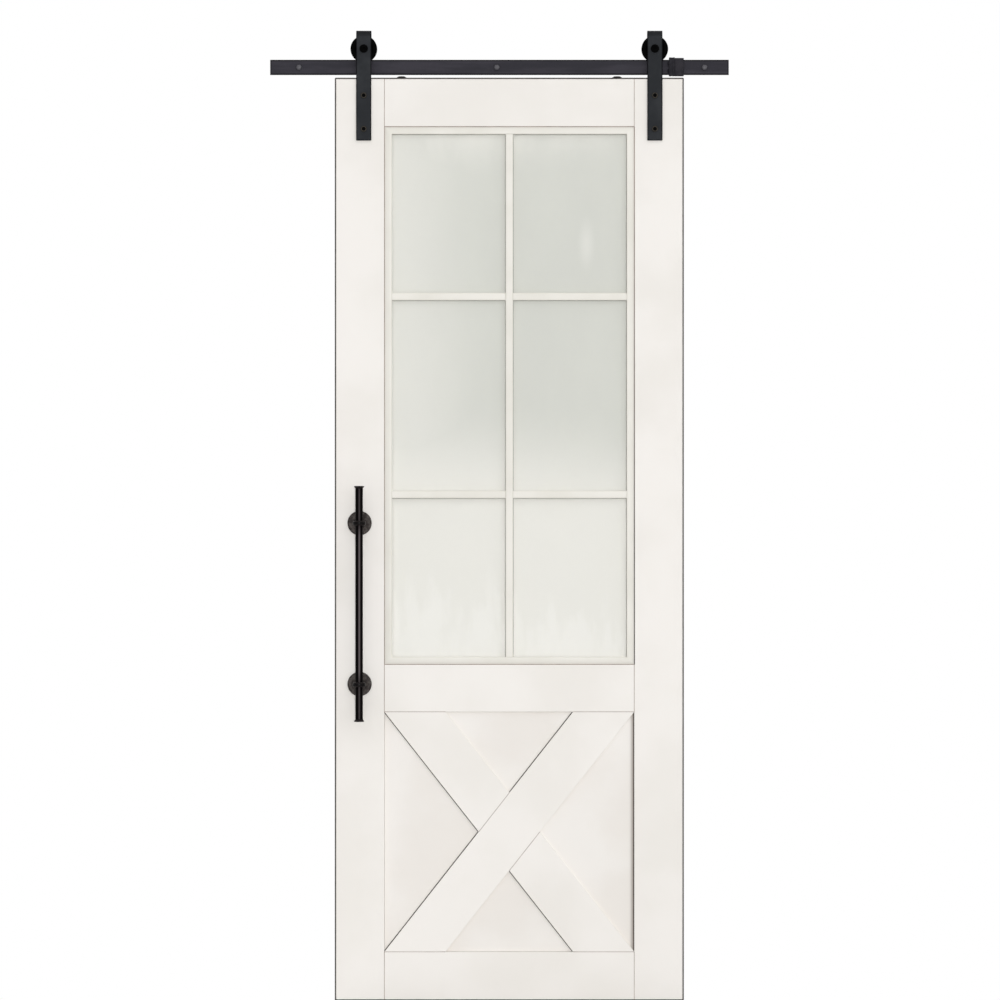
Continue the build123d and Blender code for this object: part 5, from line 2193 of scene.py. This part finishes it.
@dataclass
class JumpStuds:
    """The two low studs on the door's top edge that keep it on the track.

    Attributes:
        top_radius: The radius of a stud's flat top.
        rim: The height of its upright rim.
        sink_radius: The radius of the countersink.
        bore_radius: The radius of the hole under it.
    """

    top_radius: float = 8.5 * MM
    rim: float = 1.4 * MM
    sink_radius: float = 4.35 * MM
    bore_radius: float = 2.3 * MM

    def build(self) -> None:
        """Make the studs, and dress their screws."""
        for side in Side:
            name = f"anti_jump_stud_{side.value}"
            box = Box.of(name)
            outer, height = box.size.x / 2, box.size.z
            # The edge tone is painted shade: full at the foot, light on the top edges.
            profile = [
                Turn(0.0, self.bore_radius), Turn(0.0, outer - 0.3 * MM, edge=1.0),
                Turn(0.3 * MM, outer, edge=1.0), Turn(self.rim - 0.3 * MM, outer, edge=1.0),
                Turn(self.rim + 0.2 * MM, outer - 0.5 * MM, edge=0.6),
                Turn(height - 0.5 * MM, self.top_radius + 0.5 * MM, edge=0.2),
                Turn(height, self.top_radius - 0.5 * MM, edge=0.4),
                Turn(height, self.sink_radius, edge=0.2),
                Turn(height - (self.sink_radius - self.bore_radius), self.bore_radius),
            ]
            centre = Vector((box.centre.x, box.centre.y, box.low.z))
            shape = Shape().turned(profile, centre, UP, steps=48)
            shape.piece(f"{name}_turned", Plastics.stud, "door", [name])
        dress(Metals.fastener, "anti_jump_screws")


@dataclass(frozen=True)
class Lamp:
    """One soft distant light.

    Attributes:
        name: Its name.
        toward: The direction from the door to it.
        strength: Its strength.
        spread: Its apparent size, in degrees.
    """

    name: str
    toward: Point
    strength: float
    spread: float

    def build(self) -> None:
        """Add the light to the scene."""
        data = bpy.data.lights.new(self.name, "SUN")
        data.energy, data.angle = self.strength, math.radians(self.spread)
        lamp = bpy.data.objects.new(self.name, data)
        lamp.rotation_euler = Vector(self.toward).to_track_quat("Z", "Y").to_euler()
        bpy.context.scene.collection.objects.link(lamp)


@dataclass
class Studio:
    """The camera, the lights, the surroundings and the pale floor.

    Attributes:
        view_width: How much of the door's plane the picture spans, in metres.
        view_x: The middle of the picture, along the track.
        view_z: The middle of the picture, in height.
        lens: The lens's length, in millimetres.
        sensor: The sensor's width, in millimetres.
        ambient: The strength of the light from all round.
        lamps: The main light, the one from the front and the one from behind.
        floor_drop: How far the floor lies under the door.
        floor_reach: How far the floor goes each way.
        floor_tone: The tone that lights the door from below.
        shown_tone: The tone that is seen.
        shown_glow: The light that is added to the seen tone.
        behind: The depths where the floor begins to fade behind the door and where it is white.
        away: The distances from the middle where it does so all round.
    """

    view_width: float = 2.6414
    view_x: float = 0.0084
    view_z: float = -1.1435
    lens: float = 200.0
    sensor: float = 36.0
    ambient: float = 0.385
    lamps: tuple[Lamp, ...] = (
        Lamp("key_light", (0.5, -1.0, 0.8), 1.05, 100.0),
        Lamp("front_light", (0.06, -1.0, 0.03), 0.75, 5.0),
        Lamp("back_light", (-0.45, 1.0, 0.7), 1.6, 50.0),
    )
    floor_drop: float = 12.0 * MM
    floor_reach: float = 9.0
    floor_tone: Colour = (0.74, 0.74, 0.74)
    shown_tone: Colour = (0.93, 0.93, 0.93)
    shown_glow: float = 0.25
    behind: Flat = (0.02, 0.09)
    away: Flat = (3.0, 5.0)

    def build(self) -> None:
        """Make the camera, the lights, the world and the floor."""
        scene = bpy.context.scene
        scene.view_settings.view_transform = "Standard"
        self.build_camera(scene)
        for lamp in self.lamps:
            lamp.build()
        self.build_world(scene)
        self.build_floor()

    def build_camera(self, scene: bpy.types.Scene) -> None:
        """Set the camera square in front of the door, far away.

        Args:
            scene: The scene that the camera is for.
        """
        data = bpy.data.cameras.new("camera")
        data.lens, data.sensor_width = self.lens, self.sensor
        data.clip_end = 100.0
        camera = bpy.data.objects.new("camera", data)
        distance = self.view_width * self.lens / self.sensor
        camera.location = (self.view_x, Box.of("top_rail").low.y - distance, self.view_z)
        camera.rotation_euler = (math.pi / 2, 0, 0)
        scene.collection.objects.link(camera)
        scene.camera = camera

    def build_world(self, scene: bpy.types.Scene) -> None:
        """Surround the door with soft light, and show it as plain white.

        Args:
            scene: The scene that the world is for.
        """
        world = bpy.data.worlds.new("studio")
        world.use_nodes = True
        graph = Graph(world.node_tree)
        seen = self.seen_rays(graph)
        soft = graph.add("ShaderNodeBackground", {"Color": WHITE, "Strength": self.ambient})
        white = graph.add("ShaderNodeBackground", {"Color": WHITE, "Strength": 1.0})
        mixed = graph.add("ShaderNodeMixShader", {0: seen, 1: soft.outputs[0], 2: white.outputs[0]})
        graph.add("ShaderNodeOutputWorld", {"Surface": mixed.outputs[0]})
        scene.world = world

    def seen_rays(self, graph: Graph) -> Socket:
        """Give the mask of the rays that show the surroundings, also reflected or through glass.

        Args:
            graph: The graph to add to.

        Returns:
            The mask's socket.
        """
        rays = graph.add("ShaderNodeLightPath").outputs
        direct = graph.maths("MAXIMUM", rays["Is Camera Ray"], rays["Is Glossy Ray"])
        return graph.maths("MAXIMUM", direct, rays["Is Transmission Ray"])

    def build_floor(self) -> None:
        """Lay the pale floor, fading to the white background behind the door."""
        reach = self.floor_reach
        z = cad_bounds[0].z - self.floor_drop
        mesh = bpy.data.meshes.new("floor")
        corners = [(-reach, -reach, z), (reach, -reach, z), (reach, reach, z), (-reach, reach, z)]
        mesh.from_pydata(corners, [], [(0, 1, 2, 3)])
        material = bpy.data.materials.new("pale_floor")
        material.use_nodes = True
        graph = Graph(material.node_tree)
        place = graph.add("ShaderNodeSeparateXYZ", {0: graph.place()})
        behind = graph.spread(place.outputs["Y"], *self.behind, 0.0, 1.0)
        far = graph.vector("LENGTH", graph.place())
        away = graph.spread(far.outputs["Value"], *self.away, 0.0, 1.0)
        white_share = graph.maths("MAXIMUM", behind, away)
        looks = self.seen_rays(graph)
        seen = graph.maths("MULTIPLY", white_share, looks)
        paint = graph.add("ShaderNodeBsdfDiffuse", {"Color": self.floor_tone})
        pale = graph.add("ShaderNodeBsdfDiffuse", {"Color": self.shown_tone})
        glow = graph.add("ShaderNodeEmission", {"Color": WHITE, "Strength": self.shown_glow})
        lit = graph.add("ShaderNodeAddShader", {0: pale.outputs[0], 1: glow.outputs[0]})
        shown = graph.add("ShaderNodeMixShader", {0: looks, 1: paint.outputs[0], 2: lit.outputs[0]})
        white = graph.add("ShaderNodeEmission", {"Color": WHITE, "Strength": 1.0})
        both = {0: seen, 1: shown.outputs[0], 2: white.outputs[0]}
        mixed = graph.add("ShaderNodeMixShader", both)
        graph.add("ShaderNodeOutputMaterial", {"Surface": mixed.outputs[0]})
        mesh.materials.append(material)
        floor = bpy.data.objects.new("floor", mesh)
        bpy.context.scene.collection.objects.link(floor)


def main() -> None:
    """Build the door, its hardware and the studio, in that order."""
    logging.basicConfig(level=logging.INFO, format="%(message)s", stream=sys.stdout)
    Studio().build()
    parts: Iterable = (
        DoorFrame(), CrossPanel(), Glazing(), Hanger(Side.LEFT), Hanger(Side.RIGHT), HangerBolts(),
        Track(), EndStop(), Handle(), JumpStuds(),
    )
    for part in parts:
        log.info("Building %s", type(part).__name__)
        part.build()


if __name__ == "__main__":
    main()
